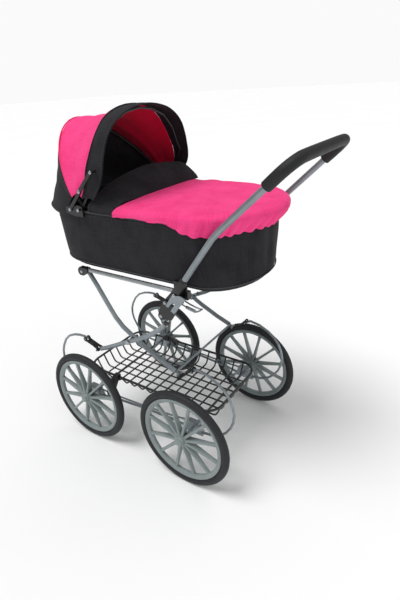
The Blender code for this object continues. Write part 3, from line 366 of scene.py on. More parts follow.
def bevelled(bm, edges, offset, segments=2):
    bmesh.ops.bevel(bm, geom=edges, offset=offset, segments=segments, profile=0.5,
                    affect="EDGES", material=-1)


def core(name):
    """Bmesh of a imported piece, its doubled vertices joined."""
    bm = bmesh.new()
    bm.from_mesh(NODES[name].data)
    bmesh.ops.remove_doubles(bm, verts=bm.verts, dist=1e-5)
    return bm


def smooth_line(points, per_span=6, cyclic=False):
    """Catmull-Rom line through points."""
    points = [Vector(p) for p in points]
    count = len(points)
    out = []
    for k in range(count if cyclic else count - 1):
        if cyclic:
            p = [points[(k + d) % count] for d in (-1, 0, 1, 2)]
        else:
            p = [points[min(max(k + d, 0), count - 1)] for d in (-1, 0, 1, 2)]
        for n in range(per_span):
            t = n / per_span
            out.append(0.5 * (2 * p[1] + (p[2] - p[0]) * t
                              + (2 * p[0] - 5 * p[1] + 4 * p[2] - p[3]) * t * t
                              + (3 * p[1] - p[0] - 3 * p[2] + p[3]) * t ** 3))
    if not cyclic:
        out.append(points[-1])
    return out


def wire(points, radius, resolution=2, cyclic=False):
    """Bmesh of a round wire along points."""
    curve = bpy.data.curves.new("wire", "CURVE")
    curve.dimensions = "3D"
    curve.bevel_depth = radius
    curve.bevel_resolution = resolution
    curve.use_fill_caps = not cyclic
    spline = curve.splines.new("POLY")
    spline.points.add(len(points) - 1)
    for spot, place in zip(spline.points, points):
        spot.co = (*place, 1.0)
    spline.use_cyclic_u = cyclic
    holder = placed("wire", curve)
    mesh = holder.evaluated_get(bpy.context.evaluated_depsgraph_get()).to_mesh()
    bm = bmesh.new()
    bm.from_mesh(mesh)
    bpy.data.objects.remove(holder)
    bpy.data.curves.remove(curve)
    return cleaned(bm, 1e-7)


def dome(centre, side, radius, height):
    """Rivet head facing outwards along y."""
    bm = bmesh.new()
    bmesh.ops.create_uvsphere(bm, u_segments=20, v_segments=10, radius=radius)
    bmesh.ops.scale(bm, vec=(1, 1, height / radius), verts=bm.verts)
    bmesh.ops.rotate(bm, matrix=Matrix.Rotation(math.radians(-90 * side), 3, "X"),
                     verts=bm.verts)
    bmesh.ops.translate(bm, vec=centre, verts=bm.verts)
    return bm


def lengths(points):
    out = [0.0]
    for a, b in zip(points, points[1:]):
        out.append(out[-1] + (Vector(b) - Vector(a)).length)
    return out


def cloth_grid(rows, inside):
    """Sheet through rows of points with a UV map in metres, its faces away from inside."""
    wide, high = len(rows[0]) - 1, len(rows) - 1
    bm = bmesh.new()
    bmesh.ops.create_grid(bm, x_segments=wide, y_segments=high, size=1.0)
    uv = bm.loops.layers.uv.new("cloth")
    u = lengths(rows[len(rows) // 2])
    v = lengths([row[wide // 2] for row in rows])
    for face in bm.faces:
        for loop in face.loops:
            i = round((loop.vert.co.x + 1) / 2 * wide)
            j = round((loop.vert.co.y + 1) / 2 * high)
            loop[uv].uv = (u[i], v[j])
    for vert in bm.verts:
        i = round((vert.co.x + 1) / 2 * wide)
        j = round((vert.co.y + 1) / 2 * high)
        vert.co = rows[j][i]
    cleaned(bm, 1e-6)
    away = sum(f.normal.dot(f.calc_center_median() - Vector(inside)) * f.calc_area()
               for f in bm.faces)
    if away < 0:
        bmesh.ops.reverse_faces(bm, faces=bm.faces)
    return bm


def wrinkled(bm, depth, scale, seed, share=None):
    """Moves the cloth along its normals by smooth noise."""
    bm.normal_update()
    moves = []
    for vert in bm.verts:
        place = Vector((vert.co.x * scale[0], vert.co.y * scale[1], vert.co.z * scale[2]))
        amount = noise.noise(place + Vector((seed, seed, seed)))
        moves.append((vert, vert.normal * depth * amount * (share(vert.co) if share else 1.0)))
    for vert, move in moves:
        vert.co += move
    return bm


def softened(obj):
    soft = obj.modifiers.new("soft", "SUBSURF")
    soft.levels = 1
    soft.render_levels = 1


def thicken(obj, thickness, lining=0):
    """Gives the cloth its thickness inwards and softens it."""
    wall = obj.modifiers.new("cloth thickness", "SOLIDIFY")
    wall.thickness = thickness
    wall.offset = -1.0
    wall.material_offset = lining
    wall.material_offset_rim = 0
    softened(obj)


def declare(obj, rows):
    width = max(lengths(row)[-1] for row in rows)
    tall = max(lengths([row[k] for row in rows])[-1] for k in range(len(rows[0])))
    area = sum(p.area for p in obj.data.polygons)
    area = min(max(area, 0.3 * width * tall), width * tall)


def stitches(line, inside, lift, size):
    """Row of short thread stitches along a line, just proud of the cloth."""
    at = lengths(line)
    bm = bmesh.new()
    pitch = size * 1.55
    for n in range(int(at[-1] / pitch)):
        want = (n + 0.5) * pitch
        k = next(i for i in range(len(at) - 1) if at[i + 1] >= want)
        a, b = Vector(line[k]), Vector(line[k + 1])
        place = a.lerp(b, (want - at[k]) / max(1e-9, at[k + 1] - at[k]))
        along = (b - a).normalized()
        out = place - Vector(inside)
        out = (out - along * out.dot(along)).normalized()
        made = bmesh.ops.create_icosphere(bm, subdivisions=1, radius=1.0)["verts"]
        turn = Matrix((along, out.cross(along), out)).transposed()
        for vert in made:
            vert.co = turn @ Vector((vert.co.x * size / 2, vert.co.y * 0.0005,
                                     vert.co.z * 0.0004)) + place + out * lift
    return bm


# ---------------------------------------------------------------- wheels
WHEEL_STEPS = 96
HUB_STEPS = 40
TYRE_STEPS = 28
HUB_EDGE = 0.0080            # radius where the blades leave the hub
BLADE_HALF_ROOT = 0.0075     # half depth of a blade at the hub
BLADE_HALF_TIP = 0.0028      # and at the rim


def wheel_parts(centre, side, radius, section, kit):
    """Rim, blades and hub as one bmesh, and the round tyre as another."""
    tyre_in = radius - section
    bead = tyre_in - 0.0005
    rim_in = bead - 0.0085
    rim = [(bead, -0.0058), (bead + 0.0008, -0.0052), (bead + 0.0008, 0.0052), (bead, 0.0058),
           (bead - 0.0015, 0.0062), (bead - 0.003, 0.0056), (rim_in + 0.001, 0.0040),
           (rim_in, 0.0026), (rim_in, -0.0026), (rim_in + 0.001, -0.0040),
           (bead - 0.003, -0.0056), (bead - 0.0015, -0.0062)]
    wheel = spun(rim, centre, WHEEL_STEPS)
    out, back = 0.0125 * side, -0.0115 * side
    hub = [(0.0032, back), (0.0098, back), (0.0110, back + 0.0012 * side), (0.0110, 0),
           (0.0104, out - 0.003 * side), (0.0092, out), (0.0080, out + 0.0004 * side),
           (0.0078, out + 0.0026 * side), (0.0060, out + 0.0044 * side),
           (0.0030, out + 0.0050 * side), (0.0002, out + 0.0050 * side)]
    hub += [(0.0002, out - 0.002 * side), (0.0032, out - 0.002 * side)]
    for k in range(kit.spokes):
        blade = bmesh.new()
        bmesh.ops.create_cube(blade, size=1.0)
        bmesh.ops.subdivide_edges(blade, cuts=4, edges=[
            e for e in blade.edges if abs(e.verts[0].co.x - e.verts[1].co.x) > 0.5])
        for vert in blade.verts:
            t = vert.co.x + 0.5
            flare = 1 + 0.55 * (2 * t - 1) ** 4
            vert.co.x = HUB_EDGE + (rim_in + 0.002 - HUB_EDGE) * t
            vert.co.z = math.copysign(kit.spoke_width / 2 * flare, vert.co.z)
            deep = BLADE_HALF_ROOT + (BLADE_HALF_TIP - BLADE_HALF_ROOT) * t
            vert.co.y = math.copysign(deep, vert.co.y)
        bevelled(blade, [e for e in blade.edges if e.calc_face_angle(0) > 0.9], 0.0007)
        bmesh.ops.rotate(blade, cent=(0, 0, 0), verts=blade.verts,
                         matrix=Matrix.Rotation(2 * math.pi * (k + 0.5) / kit.spokes, 3, "Y"))
        bmesh.ops.translate(blade, vec=centre, verts=blade.verts)
        merge(wheel, blade)
    merge(wheel, spun(hub, centre, HUB_STEPS))
    major, half = radius - section / 2, section / 2
    tread = []
    for k in range(TYRE_STEPS):
        turn = 2 * math.pi * k / TYRE_STEPS
        reach = half * (1 - 0.05 * (1 - abs(math.cos(turn))))
        tread.append((major + reach * math.cos(turn), reach * 0.98 * math.sin(turn)))
    return wheel, spun(tread, centre, WHEEL_STEPS)


class STROLLER_OT_wheels(bpy.types.Operator):
    """Builds the four spoked wheels with their foam tyres"""
    bl_idname = "stroller.wheels"
    bl_label = "Wheels"

    def execute(self, context):
        kit = context.scene.stroller_hardware
        for end in ENDS:
            for side_name, side in SIDES:
                tyre_node = f"tyre_{end}_{side_name}"
                low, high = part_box(tyre_node)
                centre = (low + high) / 2
                wheel, tyre = wheel_parts(centre, side, (high.z - low.z) / 2, high.y - low.y,
                                          kit)
                body = f"{end}_wheel_{side_name}"
                finished(f"spoked_wheel_{end}_{side_name}", wheel, "moulded_abs_grey",
                         body=body, slot="wheel_plastic",
                         replaces=[f"wheel_{end}_{side_name}"], smooth=35)
                finished(f"foam_tyre_{end}_{side_name}", tyre, "foamed_rubber", body=body,
                         slot="tyre", replaces=[tyre_node])
        return {"FINISHED"}


# ---------------------------------------------------------------- frame and rivets
FINISHES = {"painted_steel": "powder_coated_steel", "bright_steel": "zinc_plated_steel",
            "wheel_plastic": "moulded_abs_grey", "tyre": "foamed_rubber",
            "black_plastic": "moulded_nylon_black", "black_wire": "dipped_wire_black",
            "strap": "leather_strap", "black_cloth": "woven_polyester_black",
            "pink_cloth": "woven_polyester_pink", "grip_foam": "closed_cell_foam",
            "board": "film_faced_board"}
# rivets: name, body without its side, x and z in millimetres, node that carries it
RIVETS = (("hinge", "cot_frame", 15, 420, "hinge_block"),
          ("hood_pivot", "cot_frame", 61, 565, "hood_bracket"),
          ("stretcher_foot", "lower_link", 37.2, 564.2, "stretcher_lower"),
          ("stretcher_knee", "upper_link", 73.6, 602.5, "stretcher_upper"),
          ("stretcher_top", "upper_link", 112, 641, "stretcher_upper"),
          ("lock", "lock", 244.7, 402.1, "lock_plate"),
          ("lock_tail", "lock", 232, 371, "lock_plate"),
          ("arm", "cot_frame", 270, 424, "lock_channel"))


STRAP_RUN = {"front": (0.62, 0, -0.78), "rear": (-0.96, 0, -0.28)}


class STROLLER_OT_frame_finish(bpy.types.Operator):
    """Gives every piece of the frame its finish and adds the rivet heads"""
    bl_idname = "stroller.frame_finish"
    bl_label = "Frame finish"

    def execute(self, context):
        kit = context.scene.stroller_hardware
        for part in frame["record"]["subparts"]:
            obj = NODES[part["node"]]
            finish = mat(FINISHES[part["material_slot"]])
            obj.data.materials.clear()
            obj.data.materials.append(finish)
        for name, body, x, z, carrier in RIVETS:
            for side_name, side in SIDES:
                y = outer_y(f"{carrier}_{side_name}", side)
                head = dome(Vector((sx(x), y, sz(z))), side, kit.rivet / 2, 0.0014)
                rides = body if body == "cot_frame" else f"{body}_{side_name}"
                finished(f"rivet_{name}_{side_name}", head, "zinc_plated_steel", body=rides,
                         slot="bright_steel")
        self.sockets()
        self.straps()
        self.coil()
        return {"FINISHED"}

    def sockets(self):
        """Moulded socket over the foot of each handle leg."""
        foot, top = Vector((sx(280), 0, sz(438))), Vector((sx(294), 0, sz(458)))
        along = (top - foot).normalized()
        for side_name, side in SIDES:
            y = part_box("handle_tube")[1].y * side - 0.006 * side
            bm = bmesh.new()
            bmesh.ops.create_cube(bm, size=1.0)
            bmesh.ops.scale(bm, vec=(0.0165, 0.0150, 0.034), verts=bm.verts)
            for vert in bm.verts:
                if vert.co.z > 0:
                    vert.co.x *= 0.86
                    vert.co.y *= 0.90
            bevelled(bm, list(bm.edges), 0.0035, 4)
            lean = math.atan2(along.x, along.z)
            bmesh.ops.rotate(bm, matrix=Matrix.Rotation(lean, 3, "Y"), verts=bm.verts)
            bmesh.ops.translate(bm, vec=foot + along * 0.008 + Vector((0, y, 0)),
                                verts=bm.verts)
            finished(f"handle_socket_{side_name}", bm, "moulded_nylon_black", body="handle",
                     slot="black_plastic")

    def straps(self):
        """Leather straps, plumper than their cores, widest towards their lower ends."""
        for end in ENDS:
            for side_name, _ in SIDES:
                name = f"strap_{end}_{side_name}"
                bm = core(name)
                bmesh.ops.dissolve_limit(bm, angle_limit=0.02, verts=bm.verts, edges=bm.edges)
                centre = middle(name)
                along = Vector(STRAP_RUN[end])
                across = Vector((-along.z, 0, along.x))
                for vert in bm.verts:
                    from_line = (vert.co - centre).dot(across)
                    where = (vert.co - centre).dot(along) / 0.016
                    swell = 0.0016 + 0.0042 * min(1.0, max(0.0, where + 0.6))
                    vert.co += across * math.copysign(swell, from_line)
                bmesh.ops.triangulate(bm, faces=bm.faces)
                finished(f"leather_{name}", bm, "leather_strap",
                         body=f"{end}_strap_{side_name}", slot="strap", replaces=[name],
                         smooth=40)

    def coil(self):
        """Close-wound wire sleeve on the outer leg of each catch loop."""
        for side_name, side in SIDES:
            y = outer_y(f"bail_{side_name}", side) - 0.0015 * side
            start, end = Vector((sx(288), y, sz(400.5))), Vector((sx(309), y, sz(396.2)))
            along = (end - start).normalized()
            out = along.cross(Vector((0, 1, 0)))
            turns, per_turn = 13, 12
            line = []
            for k in range(turns * per_turn + 1):
                turn = 2 * math.pi * k / per_turn
                line.append(start.lerp(end, k / (turns * per_turn))
                            + (out * math.cos(turn) + Vector((0, math.sin(turn), 0))) * 0.0024)
            finished(f"catch_coil_{side_name}", wire(line, 0.0007, 1), "zinc_plated_steel",
                     body=f"catch_{side_name}", slot="bright_steel")


class STROLLER_OT_grip(bpy.types.Operator):
    """Builds the foam grip round the push bar"""
    bl_idname = "stroller.grip"
    bl_label = "Foam grip"

    def execute(self, context):
        bm = core("handle_grip")
        bmesh.ops.join_triangles(bm, faces=bm.faces, angle_face_threshold=0.7,
                                 angle_shape_threshold=1.0)
        ends = [e for e in bm.edges if len(e.link_faces) == 2 and e.calc_face_angle(0) > 0.9]
        bevelled(bm, ends, 0.0012)
        grip = finished("foam_grip", bm, "closed_cell_foam", body="handle", slot="grip_foam",
                        replaces=["handle_grip"], smooth=50)
        softened(grip)
        return {"FINISHED"}


# ---------------------------------------------------------------- basket
class STROLLER_OT_basket(bpy.types.Operator):
    """Builds the dipped wire basket"""
    bl_idname = "stroller.basket"
    bl_label = "Wire basket"

    def execute(self, context):
        low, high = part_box("basket")
        centre = (low + high) / 2
        rim_wire, wire_size, flare, corner, bend = 0.00275, 0.00195, 0.012, 0.034, 0.010
        rim_z = high.z - rim_wire
        a = (high.x - low.x) / 2 - rim_wire
        b = (high.y - low.y) / 2 - rim_wire
        floor = AXLE.z + 0.0052
        bm = bmesh.new()

        def bowl(end, z):
            foot = end - flare
            drop = [(foot + 0.001, z + 0.8 * bend), (foot - 0.003, z + 0.0022),
                    (foot - 0.9 * bend, z)]
            half = [(end, rim_z)] + drop
            return [(-s, h) for s, h in half] + [(s, h) for s, h in half[::-1]]

        for k in range(7):
            y = centre.y + (k - 3) * 0.02205
            merge(bm, wire([(centre.x + s, y, z) for s, z in bowl(a, floor)], wire_size))
        for k in range(13):
            x = centre.x + (k - 6) * 0.0245
            merge(bm, wire([(x, centre.y + s, z) for s, z in bowl(b, floor + 0.0032)],
                           wire_size))
        rim = []
        for quarter, (px, py) in enumerate(((a, b), (-a, b), (-a, -b), (a, -b))):
            px = math.copysign(abs(px) - corner, px)
            py = math.copysign(abs(py) - corner, py)
            for k in range(13):
                turn = math.radians(90 * quarter + 7.5 * k)
                rim.append((centre.x + px + corner * math.cos(turn),
                            centre.y + py + corner * math.sin(turn), rim_z))
        merge(bm, wire(rim, rim_wire, 3, cyclic=True))
        finished("wire_basket", bm, "dipped_wire_black", body="chassis", slot="black_wire",
                 replaces=["basket"])
        return {"FINISHED"}


# ---------------------------------------------------------------- cot and cover
HEAD_POWER = 2.3
FOOT_POWER = 2.0


def oval(front, rear, width, straight_from, straight_to, count=30):
    """Plan outline of the cot, from the rear end round by the right side."""
    points = []
    for k in range(4 * count + 1):
        turn = 2 * math.pi * k / (4 * count)
        c, s = math.cos(turn), math.sin(turn)
        power = FOOT_POWER if c >= 0 else HEAD_POWER
        reach = abs(c) ** (2 / power)
        side = math.copysign(abs(s) ** (2 / power), s) if abs(s) > 1e-9 else 0.0
        if c >= 0:
            x = straight_to + (rear - straight_to) * reach
        else:
            x = straight_from + (front - straight_from) * reach
        points.append((x, width * side))
    return points


def cot_ring(t, inset):
    """Outline of the cot wall, t running from 0 at the floor to 1 at the rim."""
    width = COT_HALF - 0.021 * (1 - t ** 0.85) - inset
    return oval(sx(-92 - 2 * t) + inset, sx(392 + 4.5 * t) - inset, width, sx(35 + 15 * t),
                sx(302 - 17 * t))


class STROLLER_OT_cot(bpy.types.Operator):
    """Builds the soft wall of the cot with its rim piping and bottom seam"""
    bl_idname = "stroller.cot"
    bl_label = "Cot"

    def execute(self, context):
        cloth = context.scene.stroller_cloth
        tall = RIM_Z - FLOOR_Z
        rows = []
        for inset in (0.118, 0.080, 0.040, 0.016):
            rows.append([(x, y, FLOOR_Z) for x, y in cot_ring(0.0, inset)])
        flare = [(0.004, 0.008), (0.025, 0.0035), (0.06, 0.0008)]
        for t, inset in flare + [(t, 0.0) for t in (0.11, 0.2, 0.3, 0.4, 0.5, 0.6, 0.7, 0.8,
                                                    0.9, 0.96, 1.0)]:
            rows.append([(x, y, FLOOR_Z + tall * t) for x, y in cot_ring(t, inset)])
        bm = cloth_grid(rows, (sx(150), 0, FLOOR_Z + tall / 2))

        def share(p):
            up = (p.z - FLOOR_Z) / tall
            end = min(1.0, max(0.0, (p.x - sx(230)) / 0.10))
            return max(0.0, math.sin(math.pi * min(1, max(0, up)))) * (0.45 + 0.55 * end)

        wrinkled(bm, cloth.wrinkle * 2, (26, 26, 5), 3.1, share)
        wrinkled(bm, cloth.wrinkle, (9, 9, 12), 8.7, share)

        def rear(p):
            up = (p.z - FLOOR_Z) / tall
            return eased(p.x, sx(280), sx(360)) * min(1.0, max(0.0, up * 3)) * (1.15 - 0.7 * up)

        wrinkled(bm, cloth.wrinkle * 1.6, (75, 75, 5), 12.3, rear)
        hole = [e for e in bm.edges if e.is_boundary
                and max(v.co.z for v in e.verts) < FLOOR_Z + 0.01]
        bmesh.ops.holes_fill(bm, edges=hole, sides=400)
        cot = finished("cot_wall", bm, "woven_polyester_black", body="cot_frame",
                       slot="black_cloth", replaces=["cot_shell"])
        thicken(cot, 0.003)
        declare(cot, rows)
        rim = [Vector((x, y, RIM_Z - 0.0004)) for x, y in cot_ring(1.0, 0.0012)][:-1]
        piping = wire(rim, 0.0021, 2, cyclic=True)
        foot = [Vector((x, y, FLOOR_Z + tall * 0.055)) for x, y in cot_ring(0.05, 0.0)][:-1]
        merge(piping, wire(foot, 0.0012, 1, cyclic=True))
        seam = [Vector((x, y, RIM_Z - 0.008)) for x, y in cot_ring(0.94, 0.0)]
        thread = stitches(seam, (sx(150), 0, RIM_Z - 0.008), 0.0007, cloth.stitch_length)
        for name, made, finish in (("cot_piping", piping, "piping_grey"),
                                   ("cot_stitching", thread, "sewing_thread_black")):
            finished(name, made, finish, body="cot_frame", slot="black_cloth")
        return {"FINISHED"}


def cover_outline(rear, width, edge, turn_x):
    """Three sides of the cover: straight flanks and a round foot past turn_x."""
    ring = [p for p in oval(sx(-94), rear, width, sx(50), turn_x) if p[0] > turn_x + 1e-5]
    foot = sorted(set(ring), key=lambda p: math.atan2(p[1], p[0] - turn_x))
    straight = [edge + (turn_x - edge) * k / 14 for k in range(15)]
    line = [(x, -width) for x in straight] + foot + [(x, width) for x in straight[::-1]]
    return [(p.x, p.y) for p in resample([Vector((x, y, 0)) for x, y in line], 241)]


def eased(value, start, end):
    """Smooth step from 0 at start to 1 at end."""
    t = min(1.0, max(0.0, (value - start) / (end - start)))
    return t * t * (3 - 2 * t)


class STROLLER_OT_cover(bpy.types.Operator):
    """Builds the puffed foot cover with its gathered hem, and the wind flap"""
    bl_idname = "stroller.cover"
    bl_label = "Cover and flap"

    def execute(self, context):
        cloth = context.scene.stroller_cloth
        edge, turn_x = sx(145), sx(285)
        rear = sx(396.5)
        loose = cover_outline(rear + 0.026, COT_HALF + 0.003, edge, turn_x)
        snug = cover_outline(rear + 0.004, COT_HALF + 0.0022, edge, turn_x)
        round_ = lengths([(x, y, 0) for x, y in loose])

        def foot(x):
            return eased(x, sx(262), sx(335))

        def puff(x, y):
            """Share of the full height that the edge has; it is low by the flap's near foot."""
            return 1.0 if y > 0 else 0.55 + 0.45 * eased(x, edge, sx(235))

        def gather(k):
            """Bulge of the gathered hem: round swells with sharp valleys."""
            s = round_[k] / round_[-1]
            drift = 0.8 * noise.noise(Vector((s * 14, 3.7, 0)))
            swell = abs(math.sin(math.pi * cloth.cover_gathers * s + drift * 2))
            return (swell ** 0.7 - 0.6) * (0.75 + 0.6 * noise.noise(Vector((s * 23, 0, 9.1))))

        rows = []
        # share from hem to the puffed edge, height over the rim, strength of the gathers
        for mix, rise, pull in ((0.10, -0.0215, 0.9), (0.16, -0.0190, 1.0), (0.28, -0.0165, 1.1),
                                (0.45, -0.0130, 1.1), (0.64, -0.0085, 1.0), (0.82, -0.0040, 0.8),
                                (0.94, 0.0005, 0.5), (1.0, 0.0050, 0.3), (1.0, 0.0090, 0.15)):
            row = []
            for k, (a, b) in enumerate(zip(snug, loose)):
                f = foot(b[0])
                swell = gather(k)
                spread = 0.0085 * swell * pull * f
                way = Vector((max(0.0, b[0] - turn_x), b[1], 0)).normalized()
                x = a[0] + (b[0] - a[0]) * mix + spread * way.x
                y = a[1] + (b[1] - a[1]) * mix + spread * way.y
                if rise > 0:
                    z = RIM_Z + rise * puff(*b)
                else:
                    z = RIM_Z + 0.0006 + rise * (0.03 + 0.97 * f)
                z -= 0.0050 * swell * f * max(0.0, 1 - mix * 1.6)
                row.append((x, y, z))
            rows.append(row)
        for scale, rise in ((0.985, 0.0128), (0.955, 0.0158), (0.9, 0.0172), (0.8, 0.0178),
                            (0.68, 0.0182), (0.55, 0.0184), (0.4, 0.0186), (0.25, 0.0187),
                            (0.1, 0.0188), (0.0, 0.0188)):
            rows.append([(turn_x + (x - turn_x) * scale if x > turn_x else x, y * scale,
                          RIM_Z + rise * (1 - (1 - puff(x, y)) * scale ** 4)) for x, y in loose])
        bm = cloth_grid(rows, (sx(220), 0, RIM_Z - 0.06))

        def calm(p):
            return 0.35 + 0.65 * foot(p.x)

        def fold_lines(p):
            """Pulls that run from the far corner of the flap across the cover."""
            return 0.6 * (1 - eased(p.x, sx(190), sx(300)))

        wrinkled(bm, 0.0030, (17, 17, 17), 5.3, calm)
        wrinkled(bm, 0.0016, (60, 34, 40), 1.9, calm)
        wrinkled(bm, 0.0040, (34, 9, 10), 7.7, fold_lines)
        cover = finished("foot_cover", bm, "woven_polyester_pink", body="cot_frame",
                         slot="pink_cloth", replaces=["cot_cover"])
        thicken(cover, 0.0016)
        declare(cover, rows)
        self.flap(cloth, edge)
        return {"FINISHED"}

    def flap(self, cloth, edge):
        """Wind flap: y, then x and z of its top edge in millimetres."""
        top = [(-140.5, 78, 563.5), (-140, 80, 574), (-133, 84, 583), (-118, 86, 592),
               (-95, 87, 601.5), (-65, 90, 612), (-30, 95, 620), (10, 101, 625),
               (50, 107, 625.5), (90, 113, 622), (118, 118, 616), (134, 123, 605),
               (139.5, 131, 592)]
        line = smooth_line([(sx(x), y / 1000, sz(z)) for y, x, z in top], 6)
        rows = []
        for share in (0.0, 0.1, 0.22, 0.36, 0.5, 0.64, 0.78, 0.9, 1.0):
            row = []
            for p in line:
                side = abs(p.y) / 0.140
                low = 0.0165 * eased(side, 0.80, 1.0) if p.y < 0 else 0.0025 * side
                base = Vector((edge + 0.003 - 0.001 * side, p.y * 1.003, RIM_Z + 0.0185 - low))
                q = base.lerp(p, share)
                q.z += 0.006 * math.sin(math.pi * share) * (1 - side ** 4)
                q.x += 0.004 * math.sin(math.pi * share)
                row.append(q)
            rows.append(row)
        bm = cloth_grid(rows, (sx(60), 0, sz(560)))
        wrinkled(bm, 0.0034, (8, 15, 8), 2.2)
        flap = finished("wind_flap", bm, "woven_polyester_black", body="cot_frame",
                        slot="black_cloth")
        thicken(flap, 0.0016)
        declare(flap, rows)
        hem = [Vector(p).lerp(Vector(q), 0.6) for p, q in zip(rows[-1], rows[-2])]
        thread = stitches(hem, (sx(60), 0, sz(560)), 0.0007, cloth.stitch_length)
        finished("flap_stitching", thread, "sewing_thread_black", body="cot_frame",
                 slot="black_cloth")


# ---------------------------------------------------------------- hood
PIVOT = (61, 565)
HOOD_ROWS = [(90, 175.8, 147.9, 1.91), (100, 169.5, 145.8, 1.83), (115, 178.9, 142.7, 1.69),
             (129, 206.5, 142.0, 1.77), (145, 173.5, 141.2, 1.90), (160, 161.5, 142.0, 2.05),
             (180, 167.0, 143.5, 2.30)]
SEAM = [(22, 140.5), (50, 140), (76, 137), (92, 129.5), (108, 121), (125, 111), (141, 99.5),
        (157, 85), (168, 70), (178, 46), (183, 20), (184, 0)]
VISOR = [(22, 140.5), (50, 138.5), (72, 135), (92, 131), (112, 125), (132, 116), (143, 108),
         (153, 98), (163, 84), (173, 63), (180, 36), (183, 15), (184, 0)]
HOOD_SIDE = 0.1405
ACROSS = 61


def about_pivot(radius, y, degrees):
    turn = math.radians(degrees)
    return Vector((sx(PIVOT[0]) + radius * math.cos(turn), y,
                   sz(PIVOT[1]) + radius * math.sin(turn)))


def resample(points, count):
    """Points at even distances along a line."""
    at = lengths(points)
    out = []
    k = 0
    for n in range(count):
        want = at[-1] * n / (count - 1)
        while k < len(points) - 2 and at[k + 1] < want:
            k += 1
        out.append(Vector(points[k]).lerp(Vector(points[k + 1]),
                                          (want - at[k]) / (at[k + 1] - at[k])))
    return out


def hood_shape(degrees):
    """Height, half width and power of the hood at an angle, read straight between rows."""
    for low, high in zip(HOOD_ROWS, HOOD_ROWS[1:]):
        if degrees <= high[0]:
            share = (degrees - low[0]) / (high[0] - low[0])
            return [a + (b - a) * share for a, b in zip(low[1:], high[1:])]
    raise ValueError(f"no hood row at {degrees} degrees")


def hood_row(degrees, inset=0.0, root=0.030):
    """Arch of the hood at an angle about its pivot."""
    high, width, power = hood_shape(degrees)
    high, width = high / 1000 - inset, width / 1000 - inset
    limit = math.acos(min(1.0, (root / high) ** (power / 2)))
    fine = []
    for k in range(161):
        turn = limit * (k / 80 - 1)
        radius = high * math.cos(turn) ** (2 / power)
        y = math.copysign(width * abs(math.sin(turn)) ** (2 / power), turn)
        y = max(-HOOD_SIDE, min(HOOD_SIDE, y))
        fine.append(about_pivot(radius, y, degrees))
    return resample(fine, ACROSS)


def edge_row(table, base_x, lean, curl):
    """Arch through a table of height over the pivot and half width, in millimetres."""
    half = []
    for u, y in table:
        x = base_x + lean * u - curl * max(0.0, (74 - u) / 52) ** 2
        half.append(Vector((sx(x), y / 1000, sz(PIVOT[1] + u))))
    near = [Vector((p.x, -p.y, p.z)) for p in half]
    return resample(smooth_line(near + half[-2::-1], 5), ACROSS)


def turned(row, degrees):
    centre = Vector((sx(PIVOT[0]), 0, sz(PIVOT[1])))
    turn = Matrix.Rotation(math.radians(-degrees), 3, "Y")
    return [centre + turn @ (Vector(p) - centre) for p in row]


def filled(rows, per_span):
    """More rows between the given ones, on smooth lines."""
    columns = [smooth_line(column, per_span) for column in zip(*rows)]
    return [list(row) for row in zip(*columns)]


def hood_panel(name, rows, cloth_name, lining, slot, bodies, nodes, wrinkle,
               seed):
    inside = (sx(40), 0, sz(600))
    bm = cloth_grid(rows, inside)
    wrinkled(bm, wrinkle, (16, 12, 16), seed)
    names = [cloth_name] + ([lining] if lining else [])
    body = bodies[0] if len(bodies) == 1 else None
    panel = finished(name, bm, *names, body=body, slot=slot, replaces=nodes)
    thicken(panel, 0.0014, lining=1 if lining else 0)
    if len(bodies) == 2:
        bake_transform(panel)
    declare(panel, rows)
    return panel


